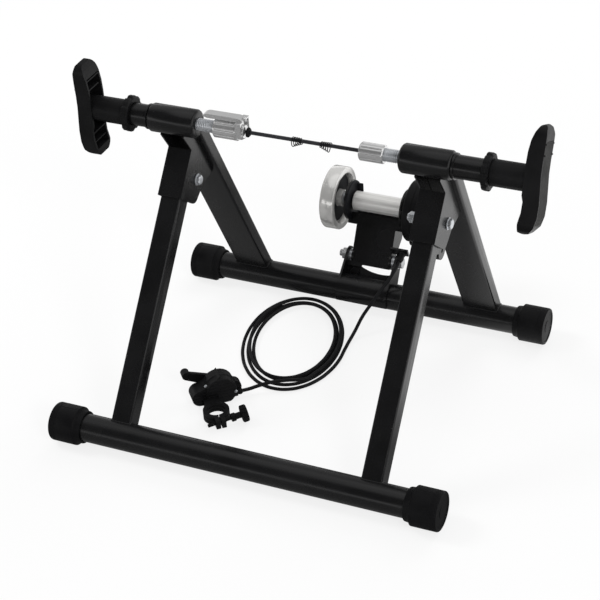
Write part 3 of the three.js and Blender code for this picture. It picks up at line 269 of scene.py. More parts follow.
flywheel_chrome = plain_finish(
    "flywheel_chrome", (0.84, 0.83, 0.81), (0.92, 0.91, 0.89), rough=(0.16, 0.22),
    grain=300, depth=0.00001, metal=0.6)
matte_dark = plain_finish(
    "matte_dark", (0.006, 0.0065, 0.009), (0.011, 0.0115, 0.015), rough=(0.55, 0.7),
    grain=1200, depth=0.00008, specular=0.25)
dark_metal = plain_finish(
    "dark_metal", (0.012, 0.0125, 0.015), (0.022, 0.0225, 0.026), rough=(0.22, 0.36),
    grain=900, depth=0.00004)


# Making pieces; points and corners this close together, in metres, count as one
SAME_POINT = 1e-6
SAME_CORNER = 1e-5


def soften(obj, width=0.4, segments=2, angle=32):
    bevel = obj.modifiers.new("bevel", "BEVEL")
    bevel.width = width * MM
    bevel.segments = segments
    bevel.limit_method = "ANGLE"
    bevel.angle_limit = math.radians(angle)
    bevel.harden_normals = True
    return obj


def join_assembly(obj, body, stands_for):
    """Puts a finished object on its CAD body and the nodes it replaces."""
    bpy.context.scene.collection.objects.link(obj)
    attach(obj, body)
    if stands_for:
        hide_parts(*stands_for)
    return obj


def make(name, points, faces, slot, body, stands_for=(), finish=None, edge=0.4):
    """A solid piece from points and faces, with smooth shading and softened edges."""
    mesh = bpy.data.meshes.new(name)
    mesh.from_pydata([place(*p) for p in points], [], faces)
    work = bmesh.new()
    work.from_mesh(mesh)
    bmesh.ops.remove_doubles(work, verts=work.verts, dist=SAME_POINT)
    bmesh.ops.recalc_face_normals(work, faces=work.faces)
    for face in work.faces:
        face.smooth = True
    work.to_mesh(mesh)
    work.free()
    mesh.materials.append(finish or finishes[slot])
    obj = bpy.data.objects.new(name, mesh)
    if edge:
        soften(obj, edge)
    return join_assembly(obj, body, stands_for)


def lathe(profile, centre, steps=72, side=1, radius_at=None, clamp=False):
    """Points and faces of [x, radius] pairs turned about a line along X; clamp flattens it on the floor."""
    y0, z0 = centre
    points, faces = [], []
    for index, (x, radius) in enumerate(profile):
        for k in range(steps):
            turn = TURN * k / steps
            r = radius_at(index, x, radius, turn) if radius_at else radius
            y, z = y0 + r * math.sin(turn), z0 + r * math.cos(turn)
            points.append((side * x, y, max(z, 0) if clamp else z))
    for i in range(len(profile)):
        j = (i + 1) % len(profile)
        if profile[i][1] == 0 and profile[j][1] == 0:
            continue
        for k in range(steps):
            m = (k + 1) % steps
            a, b = i * steps + k, i * steps + m
            c, d = j * steps + m, j * steps + k
            if profile[i][1] == 0:
                faces.append((a, c, d))
            elif profile[j][1] == 0:
                faces.append((a, b, c))
            else:
                faces.append((a, b, c, d))
    return points, faces


def turned(name, profile, centre, slot, body, stands_for=(), finish=None, edge=0.4, **how):
    return make(name, *lathe(profile, centre, **how), slot, body, stands_for, finish, edge)


def ring(start, end, inner, outer, far_outer=None):
    """Profile of a tube or flat ring, which may narrow to another outer radius at its far end."""
    return [(start, inner), (start, outer), (end, far_outer or outer), (end, inner)]


def pipe(name, points, radius, slot, body, stands_for=(), closed=False, finish=None, sides=4,
         smooth_between=4):
    """A round piece that follows points smoothly."""
    data = bpy.data.curves.new(name, "CURVE")
    data.dimensions = "3D"
    data.bevel_depth = radius * MM
    data.bevel_resolution = sides
    data.resolution_u = smooth_between
    data.use_fill_caps = not closed
    spline = data.splines.new("BEZIER")
    spline.bezier_points.add(len(points) - 1)
    for point, (x, y, z) in zip(spline.bezier_points, points):
        point.co = place(x, y, z)
        point.handle_left_type = "AUTO"
        point.handle_right_type = "AUTO"
    spline.use_cyclic_u = closed
    data.materials.append(finish or finishes[slot])
    return join_assembly(bpy.data.objects.new(name, data), body, stands_for)


def slab(name, near, far, slot, body, finish=None, edge=0.5):
    """A flat piece between two like outlines."""
    count = len(near)
    faces = [tuple(range(count)), tuple(range(2 * count - 1, count - 1, -1))]
    faces += [(k, (k + 1) % count, count + (k + 1) % count, count + k) for k in range(count)]
    return make(name, near + far, faces, slot, body, finish=finish, edge=edge)


def plate(name, outline, x0, x1, slot, body, finish=None):
    """A flat outline of [y, z] points with a thickness along X."""
    near = [(x0, y, z) for y, z in outline]
    far = [(x1, y, z) for y, z in outline]
    return slab(name, near, far, slot, body, finish)


def rectangle(a0, a1, b0, b1):
    return [(a0, b0), (a0, b1), (a1, b1), (a1, b0)]


def section(width, depth, corner, steps=5):
    """A rectangle with round corners, about the origin."""
    loop = []
    for quarter in range(4):
        centre_a = (width / 2 - corner) * (1 if quarter in (0, 3) else -1)
        centre_b = (depth / 2 - corner) * (1 if quarter in (0, 1) else -1)
        for k in range(steps):
            turn = math.radians(90 * quarter + 90 * k / (steps - 1))
            loop.append((centre_a + corner * math.cos(turn), centre_b + corner * math.sin(turn)))
    return loop


def aimed(shape, where, axis):
    """Turns a shape drawn along X at the origin to point along an axis from a place."""
    points, faces = shape
    turn = Vector((1, 0, 0)).rotation_difference(Vector(axis))
    return [tuple(Vector(where) + turn @ Vector(p)) for p in points], faces


def hexagon(flat, first, last):
    """Radius of a hexagonal head: rings first to last are no wider than a hexagon of that half width."""
    def at(index, x, plain, turn):
        if not first <= index <= last:
            return plain
        away = (turn + TURN / 12) % (TURN / 6) - TURN / 12
        return min(plain, flat / math.cos(away))
    return at


def flutes(radius, count, notch, centre_at, first, last):
    """Radius of a round piece with round notches along it, between two rings of its profile."""
    def at(index, x, plain, turn):
        if not first <= index <= last:
            return plain
        step = TURN / count
        away = (turn + step / 2) % step - step / 2
        side_way = centre_at * math.sin(away)
        if abs(side_way) >= notch:
            return plain
        return min(plain, centre_at * math.cos(away) - math.sqrt(notch ** 2 - side_way ** 2))
    return at


# Cable: one run from the adjuster over the floor coil to the shifter. The coil's half lengths and
# half widths are those of its innermost and outermost turn.
CABLE = 5.0
CABLE_REST = 2.6
COIL_X, COIL_Y = -62.2, 298.7
COIL_LONG, COIL_SHORT = (88, 116), (55, 75)
COIL_LEAN = math.radians(105)
COIL_START = math.radians(-97)
COIL_STEPS = 24
COIL_POINTS = 100
COIL_INNERMOST = 2.6
COIL_RISE = 5.6

# Listed route: the lead runs down to the coil, and the tail from there to the shifter
lead = [
    (46, 434.6, 75), (46, 427, 72.4), (43.8, 415, 66.5), (39.4, 405, 58.5), (32.8, 392, 48.5),
    (26, 377, 37), (17.8, 359, 22.5), (13.6, 344, 9.8), (11.9, 334, 4.6), (11.8, 322, 2.8),
    (12.9, 309.65, 2.6)]
tail = [
    (-2.7, 224.7, 8.2), (-5.7, 215.4, 9.2), (-13, 206, 12), (-27, 197, 14), (-46, 185.5, 13.8),
    (-62, 175.4, 10.4), (-70.5, 169.5, 8.2), (-77.7, 163.2, 8)]


def coil_point(loop):
    """Loops that shrink to the innermost one, then climb on the others and grow again."""
    out = abs(COIL_INNERMOST - loop) / COIL_INNERMOST
    climb = min(max(2 * (loop - COIL_INNERMOST) + 0.5, 0), 1)
    turn = COIL_START - TURN * loop
    long = (COIL_LONG[0] + (COIL_LONG[1] - COIL_LONG[0]) * out) * math.cos(turn)
    short = (COIL_SHORT[0] + (COIL_SHORT[1] - COIL_SHORT[0]) * out) * math.sin(turn)
    return (COIL_X + long * math.cos(COIL_LEAN) - short * math.sin(COIL_LEAN),
            COIL_Y + long * math.sin(COIL_LEAN) + short * math.cos(COIL_LEAN),
            CABLE_REST + COIL_RISE * climb)


coil = [coil_point(k / COIL_STEPS) for k in range(COIL_POINTS)]
cable = pipe("cable", lead + coil + tail, CABLE / 2, "cable_cover", "rear_frame",
             ("cable_lead", "cable_coil", "cable_tail"), sides=3, smooth_between=5)


# CAD nodes that stay: softened edges and a detailed finish
kept = {
    "frame_paint": (
        "front_leg_left front_leg_right rear_leg_left rear_leg_right channel_left channel_right "
        "unit_saddle unit_bracket", 0.9),
    "zinc": ("pivot_bolt pivot_nut", 0.35),
    "steel": ("pivot_spacer_left pivot_spacer_right", 0.35),
    "chrome": ("skewer_head skewer_lever", 0.5),
    "soft_grip": ("grip_left grip_right", 0.3),
    "black_plastic": (
        "handle_left handle_right cable_adjuster shifter_pod shifter_lever shifter_clamp "
        "shifter_barrel", 0.5),
}
for slot, (names, width) in kept.items():
    for name in names.split():
        obj = nodes[name]
        obj.data.materials.clear()
        obj.data.materials.append(finishes[slot])
        imported = obj.data.attributes.get("custom_normal")
        if imported:
            obj.data.attributes.remove(imported)
        for polygon in obj.data.polygons:
            polygon.use_smooth = True
        weld = obj.modifiers.new("weld", "WELD")
        weld.merge_threshold = SAME_CORNER
        soften(obj, width)
for name in ("shifter_pod", "shifter_clamp"):
    nodes[name].data.materials[0] = ribbed


# Floor tubes and end caps
TUBE_WALL = 2
CAP_RADIUS = 26
CAP_NECK = 21.5
CAP_THICKNESS = 7
CAP_RIBS = 96
FACE_RIM, FACE_BUTTON = 22.2, 8.5
FACE_SINK, BUTTON_SINK = 1, 0.4
RIB_DEPTH, SEAM_DEPTH = 0.28, 0.35
SEAM_HALF_WIDTH = 0.012
SEAM_RINGS, RIB_RINGS = (5, 6), (8, 9)


def cap_profile():
    """A neck on the tube, a shoulder, a groove, a ribbed rim and the sunken end face."""
    start, end = ends("front_cap_right")
    bore = TUBE_RADIUS + SEAT
    neck = [(start, bore), (start, CAP_NECK), (start + 1, CAP_NECK + 0.4), (start + 6, CAP_NECK + 1.1)]
    shoulder = [(start + 8.4, CAP_RADIUS - 1.6), (start + 9.4, CAP_RADIUS)]
    groove = [(end - 10.5, CAP_RADIUS), (end - 10, CAP_RADIUS - 0.3), (end - 9.4, CAP_RADIUS)]
    rim = [(end - 2, CAP_RADIUS), (end - 0.6, CAP_RADIUS - 0.5), (end, CAP_RADIUS - 1.4)]
    face = [(end, FACE_RIM), (end - FACE_SINK, FACE_RIM - 0.8), (end - FACE_SINK, FACE_BUTTON),
            (end - BUTTON_SINK, FACE_BUTTON - 0.5), (end - BUTTON_SINK, 0)]
    inside = [(end - CAP_THICKNESS, 0), (end - CAP_THICKNESS, bore)]
    return neck + shoulder + groove + rim + face + inside


def cap_surface(index, x, radius, turn):
    """Ribs round the rim, and a mould seam along the top."""
    if index in RIB_RINGS:
        return radius - RIB_DEPTH * (0.5 + 0.5 * math.cos(turn * CAP_RIBS))
    if index in SEAM_RINGS and abs(math.sin(turn / 2)) < SEAM_HALF_WIDTH:
        return radius - SEAM_DEPTH
    return radius


for row, y, body in (("front", 0, "front_frame"), ("rear", REAR_Y, "rear_frame")):
    axis = (y, FLOOR_AXIS)
    tube = ring(*ends(f"{row}_floor_tube"), TUBE_RADIUS - TUBE_WALL, TUBE_RADIUS)
    turned(f"{row}_floor_tube_fine", tube, axis, "frame_paint", body, (f"{row}_floor_tube",), edge=0.3)
    for hand, side in SIDES:
        turned(f"{row}_cap_{hand}_fine", cap_profile(), axis, "cap_rubber", body,
               (f"{row}_cap_{hand}",), edge=0.3, side=side, steps=2 * CAP_RIBS,
               radius_at=cap_surface, clamp=True)


# Legs: each line starts at a floor tube and leans towards a place past the axle
FRONT_AIM, REAR_AIM = 61.6, 9.7
FRONT_OFFSET, REAR_OFFSET = 5, 7.5
LEG_CORNER = 3
FRONT_LEG = 28
REAR_LEG_WIDTH, REAR_LEG_DEPTH = 50, 19
WELD = 1.25
WELD_STEP = 1.6
WELD_RIPPLE, WELD_BEAT = 0.18, 2.1
WELD_ROOT = 19.2


def lean_to(distance):
    """The lean in degrees of a leg that runs that far along Y while it rises to the axle."""
    return round(math.degrees(math.atan2(distance, AXLE_Z - FLOOR_AXIS)), 3)


def leaning(foot_y, foot_z, degrees, offset):
    """A leaning line as a function of n behind the line and s along it from its foot."""
    lean = math.radians(degrees)
    along = (math.sin(lean), math.cos(lean))
    back = (along[1], -along[0])
    foot = (foot_y + back[0] * offset, foot_z + back[1] * offset)

    def at(n, s):
        return foot[0] + back[0] * n + along[0] * s, foot[1] + back[1] * n + along[1] * s
    return at


REAR_LEAN = -lean_to(REAR_Y - AXLE_Y - REAR_AIM)
front_leg = leaning(0, FLOOR_AXIS, lean_to(AXLE_Y + FRONT_AIM), FRONT_OFFSET)
rear_leg = leaning(REAR_Y, FLOOR_AXIS, REAR_LEAN, REAR_OFFSET)


def weld_bead(name, loop, line, body, x0, offset, start=None):
    """A painted weld where a leg meets a round tube; offset is the leg line's distance from its axis."""
    dense = []
    for k, (x, n) in enumerate(loop):
        x2, n2 = loop[(k + 1) % len(loop)]
        steps = max(1, round(math.hypot(x2 - x, n2 - n) / WELD_STEP))
        dense += [(x + (x2 - x) * i / steps, n + (n2 - n) * i / steps) for i in range(steps)]
    points = []
    for k, (x, n) in enumerate(dense):
        reach = math.sqrt(max(WELD_ROOT ** 2 - (n + offset) ** 2, 0))
        s = reach if start is None else start - reach
        y, z = line(n, s + WELD_RIPPLE * math.sin(k * WELD_BEAT))
        points.append((x0 + x, y, z))
    return pipe(name, points, WELD, "frame_paint", body, closed=True, smooth_between=2, sides=2)


def axle_on_rear_leg():
    """How far the axle lies in front of the rear legs' line, and how far along it."""
    foot_y, foot_z = rear_leg(0, 0)
    lean = math.radians(REAR_LEAN)
    away_y, away_z = AXLE_Y - foot_y, AXLE_Z - foot_z
    return (away_z * math.sin(lean) - away_y * math.cos(lean),
            away_y * math.sin(lean) + away_z * math.cos(lean))


head_offset, head_start = axle_on_rear_leg()
front_edge = [(REAR_LEG_WIDTH / 2, -REAR_LEG_DEPTH / 2), (-REAR_LEG_WIDTH / 2, -REAR_LEG_DEPTH / 2)]
for hand, side in SIDES:
    leg_x = side * LEG_X
    weld_bead(f"weld_front_{hand}", section(FRONT_LEG, FRONT_LEG, LEG_CORNER), front_leg,
              "front_frame", leg_x, FRONT_OFFSET)
    weld_bead(f"weld_rear_{hand}", section(REAR_LEG_WIDTH, REAR_LEG_DEPTH, LEG_CORNER), rear_leg,
              "rear_frame", leg_x, REAR_OFFSET)
    weld_bead(f"weld_head_{hand}", front_edge, rear_leg, "rear_frame", leg_x, head_offset,
              start=head_start)


# Axle line
axle = (AXLE_Y, AXLE_Z)
HEAD_RADIUS = radius_of("head_tube_right")
HEAD_ROUNDING = 4
SLEEVE_DEPTH = 46
SLEEVE_RADIUS, SLEEVE_BORE = 15, 9
FLANGE_RADIUS, FLANGE_WIDTH = 17, 3
SCREW_RADIUS, SHANK_RADIUS = 8.5, 8.2
THREAD_PITCH, THREAD_DEPTH = 2.6, 1.0
THREAD_NOTCH = 0.42
THREAD_STEPS = 48
THREAD_RINGS = 8
FADE_IN, FADE_OUT = 6, 3
CUP_BORE, CUP_DEPTH = 9.2, 25
CUP_CHAMFER = 1.2
CUP_FLUTES, FLUTE_RADIUS = 10, 2.2
COLLAR_RADIUS, COLLAR_EDGE, COLLAR_BORE = 24, 20.5, 15.5
COLLAR_NOTCHES, NOTCH_RADIUS = 10, 4
# Where each thread ends and the plain shank starts
THREAD_STOP = {"left": 151, "right": 163}


def threads(start, stop, side):
    """A helical thread between two places along X, which fades into the bar at its ends."""
    rings = round((stop - start) / THREAD_PITCH * THREAD_RINGS)
    points, faces = [], []
    for i in range(rings + 1):
        x = start + (stop - start) * i / rings
        for k in range(THREAD_STEPS):
            turn = TURN * k / THREAD_STEPS
            phase = (x / THREAD_PITCH - k / THREAD_STEPS) % 1
            notch = max(0, 1 - abs(phase - 0.5) / THREAD_NOTCH)
            fade = min(1, i / FADE_IN, (rings - i) / FADE_OUT)
            r = SCREW_RADIUS - THREAD_DEPTH * notch * fade
            points.append((side * x, AXLE_Y + r * math.sin(turn), AXLE_Z + r * math.cos(turn)))
    for i in range(rings):
        a, b = i * THREAD_STEPS, (i + 1) * THREAD_STEPS
        for k in range(THREAD_STEPS):
            m = (k + 1) % THREAD_STEPS
            faces.append((a + k, a + m, b + m, b + k))
    faces.append(tuple(range(THREAD_STEPS)))
    faces.append(tuple(range(rings * THREAD_STEPS, (rings + 1) * THREAD_STEPS)))
    return points, faces


def head_tube_profile():
    """A tube with rounded ends, bored wide for the sleeve and narrow for the screw."""
    inner, outer, radius = HEAD_INNER, HEAD_OUTER, HEAD_RADIUS
    bottom = outer - SLEEVE_DEPTH
    bore = SLEEVE_RADIUS + SEAT
    near = [(inner, SLEEVE_BORE), (inner, radius - 3.8), (inner + 0.8, radius - 2.4),
            (inner + 2, radius - 1.1), (inner + HEAD_ROUNDING, radius)]
    far = [(outer - HEAD_ROUNDING, radius), (outer - 2.1, radius - 1.1), (outer - 0.8, radius - 2.4),
           (outer, bore)]
    return near + far + [(bottom, bore), (bottom, SLEEVE_BORE)]


def sleeve_profile(start, end):
    """A tube with a flange that rests against the head tube."""
    flange = HEAD_OUTER + SEAT
    return [
        (start, SLEEVE_BORE), (start, SLEEVE_RADIUS), (flange, SLEEVE_RADIUS),
        (flange, FLANGE_RADIUS), (flange + FLANGE_WIDTH, FLANGE_RADIUS),
        (flange + FLANGE_WIDTH, SLEEVE_RADIUS), (end, SLEEVE_RADIUS), (end, SLEEVE_BORE)]


def cup_profile(mouth, end, radius):
    """A cup that opens towards the wheel; the flutes run between its two middle rings."""
    bottom = mouth + CUP_DEPTH
    return [
        (mouth, CUP_BORE), (mouth, radius - CUP_CHAMFER), (mouth + CUP_CHAMFER, radius),
        (mouth + 2.3, radius), (mouth + 2.5, radius), (end - 2.5, radius), (end - 2.3, radius),
        (end - CUP_CHAMFER, radius), (end, radius - CUP_CHAMFER), (end, 0), (bottom, 0),
        (bottom, CUP_BORE)]


def collar_profile(near, far):
    half = [(COLLAR_BORE, 0), (COLLAR_EDGE, 0), (COLLAR_EDGE + 0.7, 0.6), (COLLAR_RADIUS, 1.6)]
    return ([(near + x, radius) for radius, x in half]
            + [(far - x, radius) for radius, x in reversed(half)])


for hand, side in SIDES:
    turned(f"head_tube_{hand}_fine", head_tube_profile(), axle, "frame_paint", "rear_frame",
           (f"head_tube_{hand}",), side=side, edge=0.3)
    turned(f"sleeve_{hand}_fine", sleeve_profile(*ends(f"sleeve_{hand}", side)), axle, "frame_paint",
           "rear_frame", (f"sleeve_{hand}",), side=side, edge=0.4)
    mouth, cup_end = ends(f"cup_{hand}", side)
    cup_radius = radius_of(f"cup_{hand}")
    turned(f"cup_{hand}_fine", cup_profile(mouth, cup_end, cup_radius), axle, "chrome",
           f"{hand}_cup", (f"cup_{hand}",), side=side, steps=180, edge=0.25,
           radius_at=flutes(cup_radius, CUP_FLUTES, FLUTE_RADIUS,
                            centre_at=cup_radius + FLUTE_RADIUS / 2, first=4, last=5))
    stop = THREAD_STOP[hand]
    screw_end = ends(f"screw_{hand}", side)[1]
    make(f"screw_{hand}_thread", *threads(cup_end + SEAT, stop, side), "steel",
         f"{hand}_handle", (f"screw_{hand}",), edge=0)
    shank = [(stop - 0.5, 0), (stop - 0.5, SHANK_RADIUS), (screw_end, SHANK_RADIUS), (screw_end, 0)]
    turned(f"screw_{hand}_shank", shank, axle, "steel", f"{hand}_handle", side=side,
           steps=THREAD_STEPS, edge=0.3)
    turned(f"collar_{hand}_fine", collar_profile(*ends(f"collar_{hand}", side)), axle,
           "black_plastic", f"{hand}_collar", (f"collar_{hand}",), side=side, steps=200, edge=0.3,
           radius_at=flutes(COLLAR_RADIUS, COLLAR_NOTCHES, NOTCH_RADIUS,
                            centre_at=COLLAR_RADIUS + 2, first=3, last=4))


# Skewer rod, washer, nut and cone springs
ROD_RADIUS = radius_of("skewer_rod")
ROD_BORE = ROD_RADIUS + SEAT
WASHER_RADIUS, WASHER_WIDTH = 6.6, 4
WASHER_CHAMFER = 2
NUT_RADIUS, NUT_GROOVE = 6.8, 6.1
NUT_FLUTES = 12
SPRING_WIDE, SPRING_NARROW = 6.4, 3.6
SPRING_WIRE = 0.6
SPRING_CURLS, SPRING_STEPS = 5, 16
SPRING_TOP = 3.2
SPRING_LENGTH = 14
SPRING_SHARES = {"left": 0.44, "right": 0.668}


def rod_profile(start, end, radius):
    return [(start, 0), (start, radius), (end, radius), (end, 0)]


def washer_profile(start):
    end = start + WASHER_WIDTH
    return [(start, ROD_BORE), (start, WASHER_RADIUS), (end - WASHER_CHAMFER, WASHER_RADIUS),
            (end, WASHER_RADIUS - WASHER_CHAMFER), (end, ROD_BORE)]


def nut_profile(start, end):
    """A fluted nut with a groove round its middle."""
    groove = start + 6.2
    return [
        (start, ROD_BORE), (start, NUT_RADIUS - 0.6), (start + 0.6, NUT_RADIUS), (groove, NUT_RADIUS),
        (groove + 0.6, NUT_GROOVE), (groove + 1.4, NUT_GROOVE), (groove + 2, NUT_RADIUS),
        (end - 0.8, NUT_RADIUS), (end, NUT_RADIUS - 0.8), (end, ROD_BORE)]


def spring_ends(hand):
    """The wide and narrow end; a spring starts at a share of the way from the left cup to the right."""
    left, right = -ends("cup_left", -1)[0], ends("cup_right")[0]
    start = round(left + SPRING_SHARES[hand] * (right - left), 2)
    stop = start + SPRING_LENGTH
    return (start, stop) if hand == "left" else (stop, start)


def cone_spring(wide_end, narrow_end):
    """A cone spring that hangs with the top of every coil on the rod."""
    points = []
    steps = SPRING_CURLS * SPRING_STEPS
    for k in range(steps + 1):
        turn = TURN * k / SPRING_STEPS
        radius = SPRING_WIDE + (SPRING_NARROW - SPRING_WIDE) * k / steps
        points.append((wide_end + (narrow_end - wide_end) * k / steps,
                       AXLE_Y + radius * math.cos(turn),
                       AXLE_Z + SPRING_TOP - radius + radius * math.sin(turn)))
    return points


turned("skewer_rod_fine", rod_profile(*ends("skewer_rod"), ROD_RADIUS), axle, "steel", "left_cup",
       ("skewer_rod",), finish=dark_metal, steps=32)
turned("skewer_washer_fine", washer_profile(ends("skewer_washer")[0]), axle, "black_plastic",
       "left_cup", ("skewer_washer",), steps=64, edge=0.5)
turned("skewer_nut_fine", nut_profile(*ends("skewer_nut")), axle, "chrome", "skewer_nut",
       ("skewer_nut",), steps=96, edge=0.2,
       radius_at=flutes(NUT_RADIUS, NUT_FLUTES, 0.8, centre_at=NUT_RADIUS + 0.4, first=2, last=7))
for hand, _ in SIDES:
    pipe(f"skewer_spring_{hand}_fine", cone_spring(*spring_ends(hand)), SPRING_WIRE, "steel",
         "left_cup", (f"skewer_spring_{hand}",), finish=finishes["cable_cover"], sides=2,
         smooth_between=2)


# Resistance unit
roller_axis = (ROLLER_Y, ROLLER_Z)
SHAFT_RADIUS = radius_of("roller_shaft")
SHAFT_BORE, RUNNING_BORE = SHAFT_RADIUS + 0.3, SHAFT_RADIUS + 0.5
HUB_RADIUS = 13
RIM_INNER = 37.5
WHEEL_RECESS, WHEEL_DISH = 9, 4.4
WHEEL_NUT_RADIUS, WHEEL_NUT_FLAT, WHEEL_NUT_WIDTH = 8.6, 7.6, 3
HOUSING_WALL, HOUSING_DEPTH = 2.5, 13
BOSS_RADIUS = 16
EAR_FACE, EAR_RADIUS = -41, 29
COVER_HOLLOW = 16


def roller_profile():
    """A plain drum with rounded ends and a fine groove near each."""
    end = ends("roller")[1]
    radius = radius_of("roller")
    half = [(end, SHAFT_BORE), (end, radius - 1), (end - 1, radius), (end - 3.5, radius),
            (end - 3.8, radius - 0.3), (end - 4.1, radius)]
    return [(-x, r) for x, r in half] + half[::-1]


def shaft_profile():
    start, end = ends("roller_shaft")
    return [(start, 0), (start, SHAFT_RADIUS - 0.8), (start + 0.8, SHAFT_RADIUS), (end, SHAFT_RADIUS),
            (end, 0)]


wheel_start, wheel_end = ends("flywheel")
recess_face = wheel_end - WHEEL_RECESS
dish_face = wheel_start + WHEEL_DISH


def flywheel_profile():
    """A heavy rim round a hub, with a deep recess towards the roller and a shallow one outside."""
    radius = radius_of("flywheel")
    start, end = wheel_start, wheel_end
    rim = [(start, radius - 1.4), (start + 0.4, radius - 0.6), (start + 1.4, radius),
           (end - 1.4, radius), (end - 0.4, radius - 0.6), (end, radius - 1.4)]
    recess = [(end, RIM_INNER), (end - 0.6, RIM_INNER - 0.5), (recess_face, RIM_INNER - 2),
              (recess_face, HUB_RADIUS), (end - 0.6, HUB_RADIUS - 0.8), (end, HUB_RADIUS - 1.5)]
    bore = [(end, SHAFT_BORE), (start, SHAFT_BORE)]
    dish = [(start, HUB_RADIUS), (dish_face, HUB_RADIUS + 0.4), (dish_face, RIM_INNER - 1.1),
            (start, RIM_INNER - 0.5)]
    return rim + recess + bore + dish


def wheel_nut_profile():
    """A nut with a chamfered face, round the shaft on the flywheel's inner side."""
    seat, face = wheel_end - 0.2, wheel_end + WHEEL_NUT_WIDTH
    bore = SHAFT_RADIUS + 0.4
    return [(seat, bore), (seat, WHEEL_NUT_RADIUS), (face, WHEEL_NUT_RADIUS),
            (face + 0.2, WHEEL_NUT_RADIUS - 0.6), (face + 0.2, bore)]


def boss_profile():
    start, end = ends("bearing_left")
    return [
        (start, RUNNING_BORE), (start, BOSS_RADIUS - 3.5), (start + 0.7, BOSS_RADIUS - 1.4),
        (start + 2.1, BOSS_RADIUS - 0.2), (start + 3.5, BOSS_RADIUS), (end, BOSS_RADIUS),
        (end, RUNNING_BORE)]


def housing_profile():
    """A boss on the bracket's ear and the round case behind it, open towards the magnets."""
    start, end = ends("magnet_housing")
    radius = radius_of("magnet_housing")
    back = end - HOUSING_DEPTH
    inside = back + HOUSING_WALL
    return [
        (start, RUNNING_BORE), (start, BOSS_RADIUS), (back, BOSS_RADIUS), (back, radius - 4),
        (back + 0.6, radius - 1.4), (inside, radius), (end - 1.4, radius), (end, radius - 0.6),
        (end, radius - HOUSING_WALL), (inside, radius - HOUSING_WALL), (inside, RUNNING_BORE)]


def carrier_profile():
    """A domed cover with a sunken middle."""
    start, end = ends("magnet_carrier")
    radius = radius_of("magnet_carrier")
    return [
        (start, 0), (start, radius), (start + 2.8, radius), (start + 6.7, radius - 1.6),
        (end - 2.8, radius - 5.6), (end - 0.7, radius - 7.4), (end, radius - 8.4),
        (end, COVER_HOLLOW), (end - 0.7, COVER_HOLLOW - 1.6), (end - 2.8, COVER_HOLLOW - 2.8),
        (end - 2.8, 0)]


turned("roller_fine", roller_profile(), roller_axis, "aluminium", "roller_set", ("roller",),
       steps=96, edge=0.25)
turned("roller_shaft_fine", shaft_profile(), roller_axis, "steel", "roller_set",
       ("roller_shaft",), steps=48, edge=0.2)
turned("flywheel_fine", flywheel_profile(), roller_axis, "chrome", "roller_set", ("flywheel",),
       finish=flywheel_chrome, steps=128, edge=0.3)
turned("flywheel_face",
       ring(recess_face + 0.02, recess_face + 0.4, HUB_RADIUS + 0.2, RIM_INNER - 2.3),
       roller_axis, "chrome", "roller_set", finish=matte_dark, steps=96, edge=0.1)
# Painted shade: a thin matte dark disc on the left ear's inner face, in the gap between the roller's end and
# the ear
turned("ear_painted_shade_left",
       ring(EAR_FACE + 0.05, EAR_FACE + 1.6, SHAFT_RADIUS + 1, EAR_RADIUS - 0.1, EAR_RADIUS - 0.6),
       roller_axis, "black_plastic", "resistance_unit", finish=matte_dark, steps=96, edge=0.3)
turned("flywheel_nut", wheel_nut_profile(), roller_axis, "steel", "roller_set", steps=96, edge=0.2,
       radius_at=hexagon(WHEEL_NUT_FLAT, first=1, last=3))
turned("flywheel_dish",
       ring(dish_face - 0.15, dish_face - 0.08, HUB_RADIUS + 0.6, RIM_INNER - 1.3), roller_axis,
       "chrome", "roller_set", steps=96, finish=dark_metal, edge=0)
turned("bearing_left_fine", boss_profile(), roller_axis, "aluminium", "resistance_unit",
       ("bearing_left",), steps=72, finish=matte_dark, edge=0.3)
turned("rotor_disc_fine", ring(*ends("rotor_disc"), SHAFT_BORE, radius_of("rotor_disc")),
       roller_axis, "aluminium", "roller_set", ("rotor_disc",), steps=96, edge=0.4)
turned("magnet_housing_fine", housing_profile(), roller_axis, "black_plastic", "resistance_unit",
       ("magnet_housing",), steps=96, edge=0.4)
turned("magnet_carrier_fine", carrier_profile(), roller_axis, "black_plastic", "magnet_cover",
       ("magnet_carrier",), steps=96, edge=0.4)


# Sheet steel round the bracket's web: the saddle's front wall with its hollow edge, and narrow lips
WEB_LEAN, WEB_SETBACK, WEB_STEEL = 30, 1.7, 3
WALL_FOOT, WALL_SHOULDER, WALL_HALF = -107.2, -93.5, 36
HOLLOW_START = -13
HOLLOW_X, HOLLOW_S, HOLLOW_CURVE = 18, -99.9, 0.0066
HOLLOW_STEPS = 12
web = leaning(ROLLER_Y, ROLLER_Z, WEB_LEAN, WEB_SETBACK)


def web_sheet(name, outline, body, front=0, back=WEB_STEEL):
    """A flat outline of [x, s] points in the leaning plane of the bracket's web."""
    near = [(x, *web(front, s)) for x, s in outline]
    far = [(x, *web(back, s)) for x, s in outline]
    return slab(name, near, far, "frame_paint", body)


def hollow_edge(first, last):
    """An edge that is lowest at HOLLOW_X and rises to both sides."""
    points = []
    for k in range(HOLLOW_STEPS + 1):
        x = first + (last - first) * k / HOLLOW_STEPS
        points.append((x, HOLLOW_S + HOLLOW_CURVE * (x - HOLLOW_X) ** 2))
    return points


wall_left = 0.1 - WALL_HALF
web_sheet("saddle_wall", [(wall_left, WALL_FOOT), (wall_left, WALL_SHOULDER)]
          + hollow_edge(HOLLOW_START, WALL_HALF) + [(WALL_HALF, WALL_FOOT)], "rear_frame")
web_sheet("bracket_lip", rectangle(-12.6, 29.9, -84.5, -91), "resistance_unit")
web_sheet("stop_lip", rectangle(-26, -12.8, -82.5, -88), "rear_frame", front=3.1, back=4.6)
web_sheet("bracket_guard", rectangle(-33, 33, -20, -14.3), "resistance_unit", front=2.9, back=5)


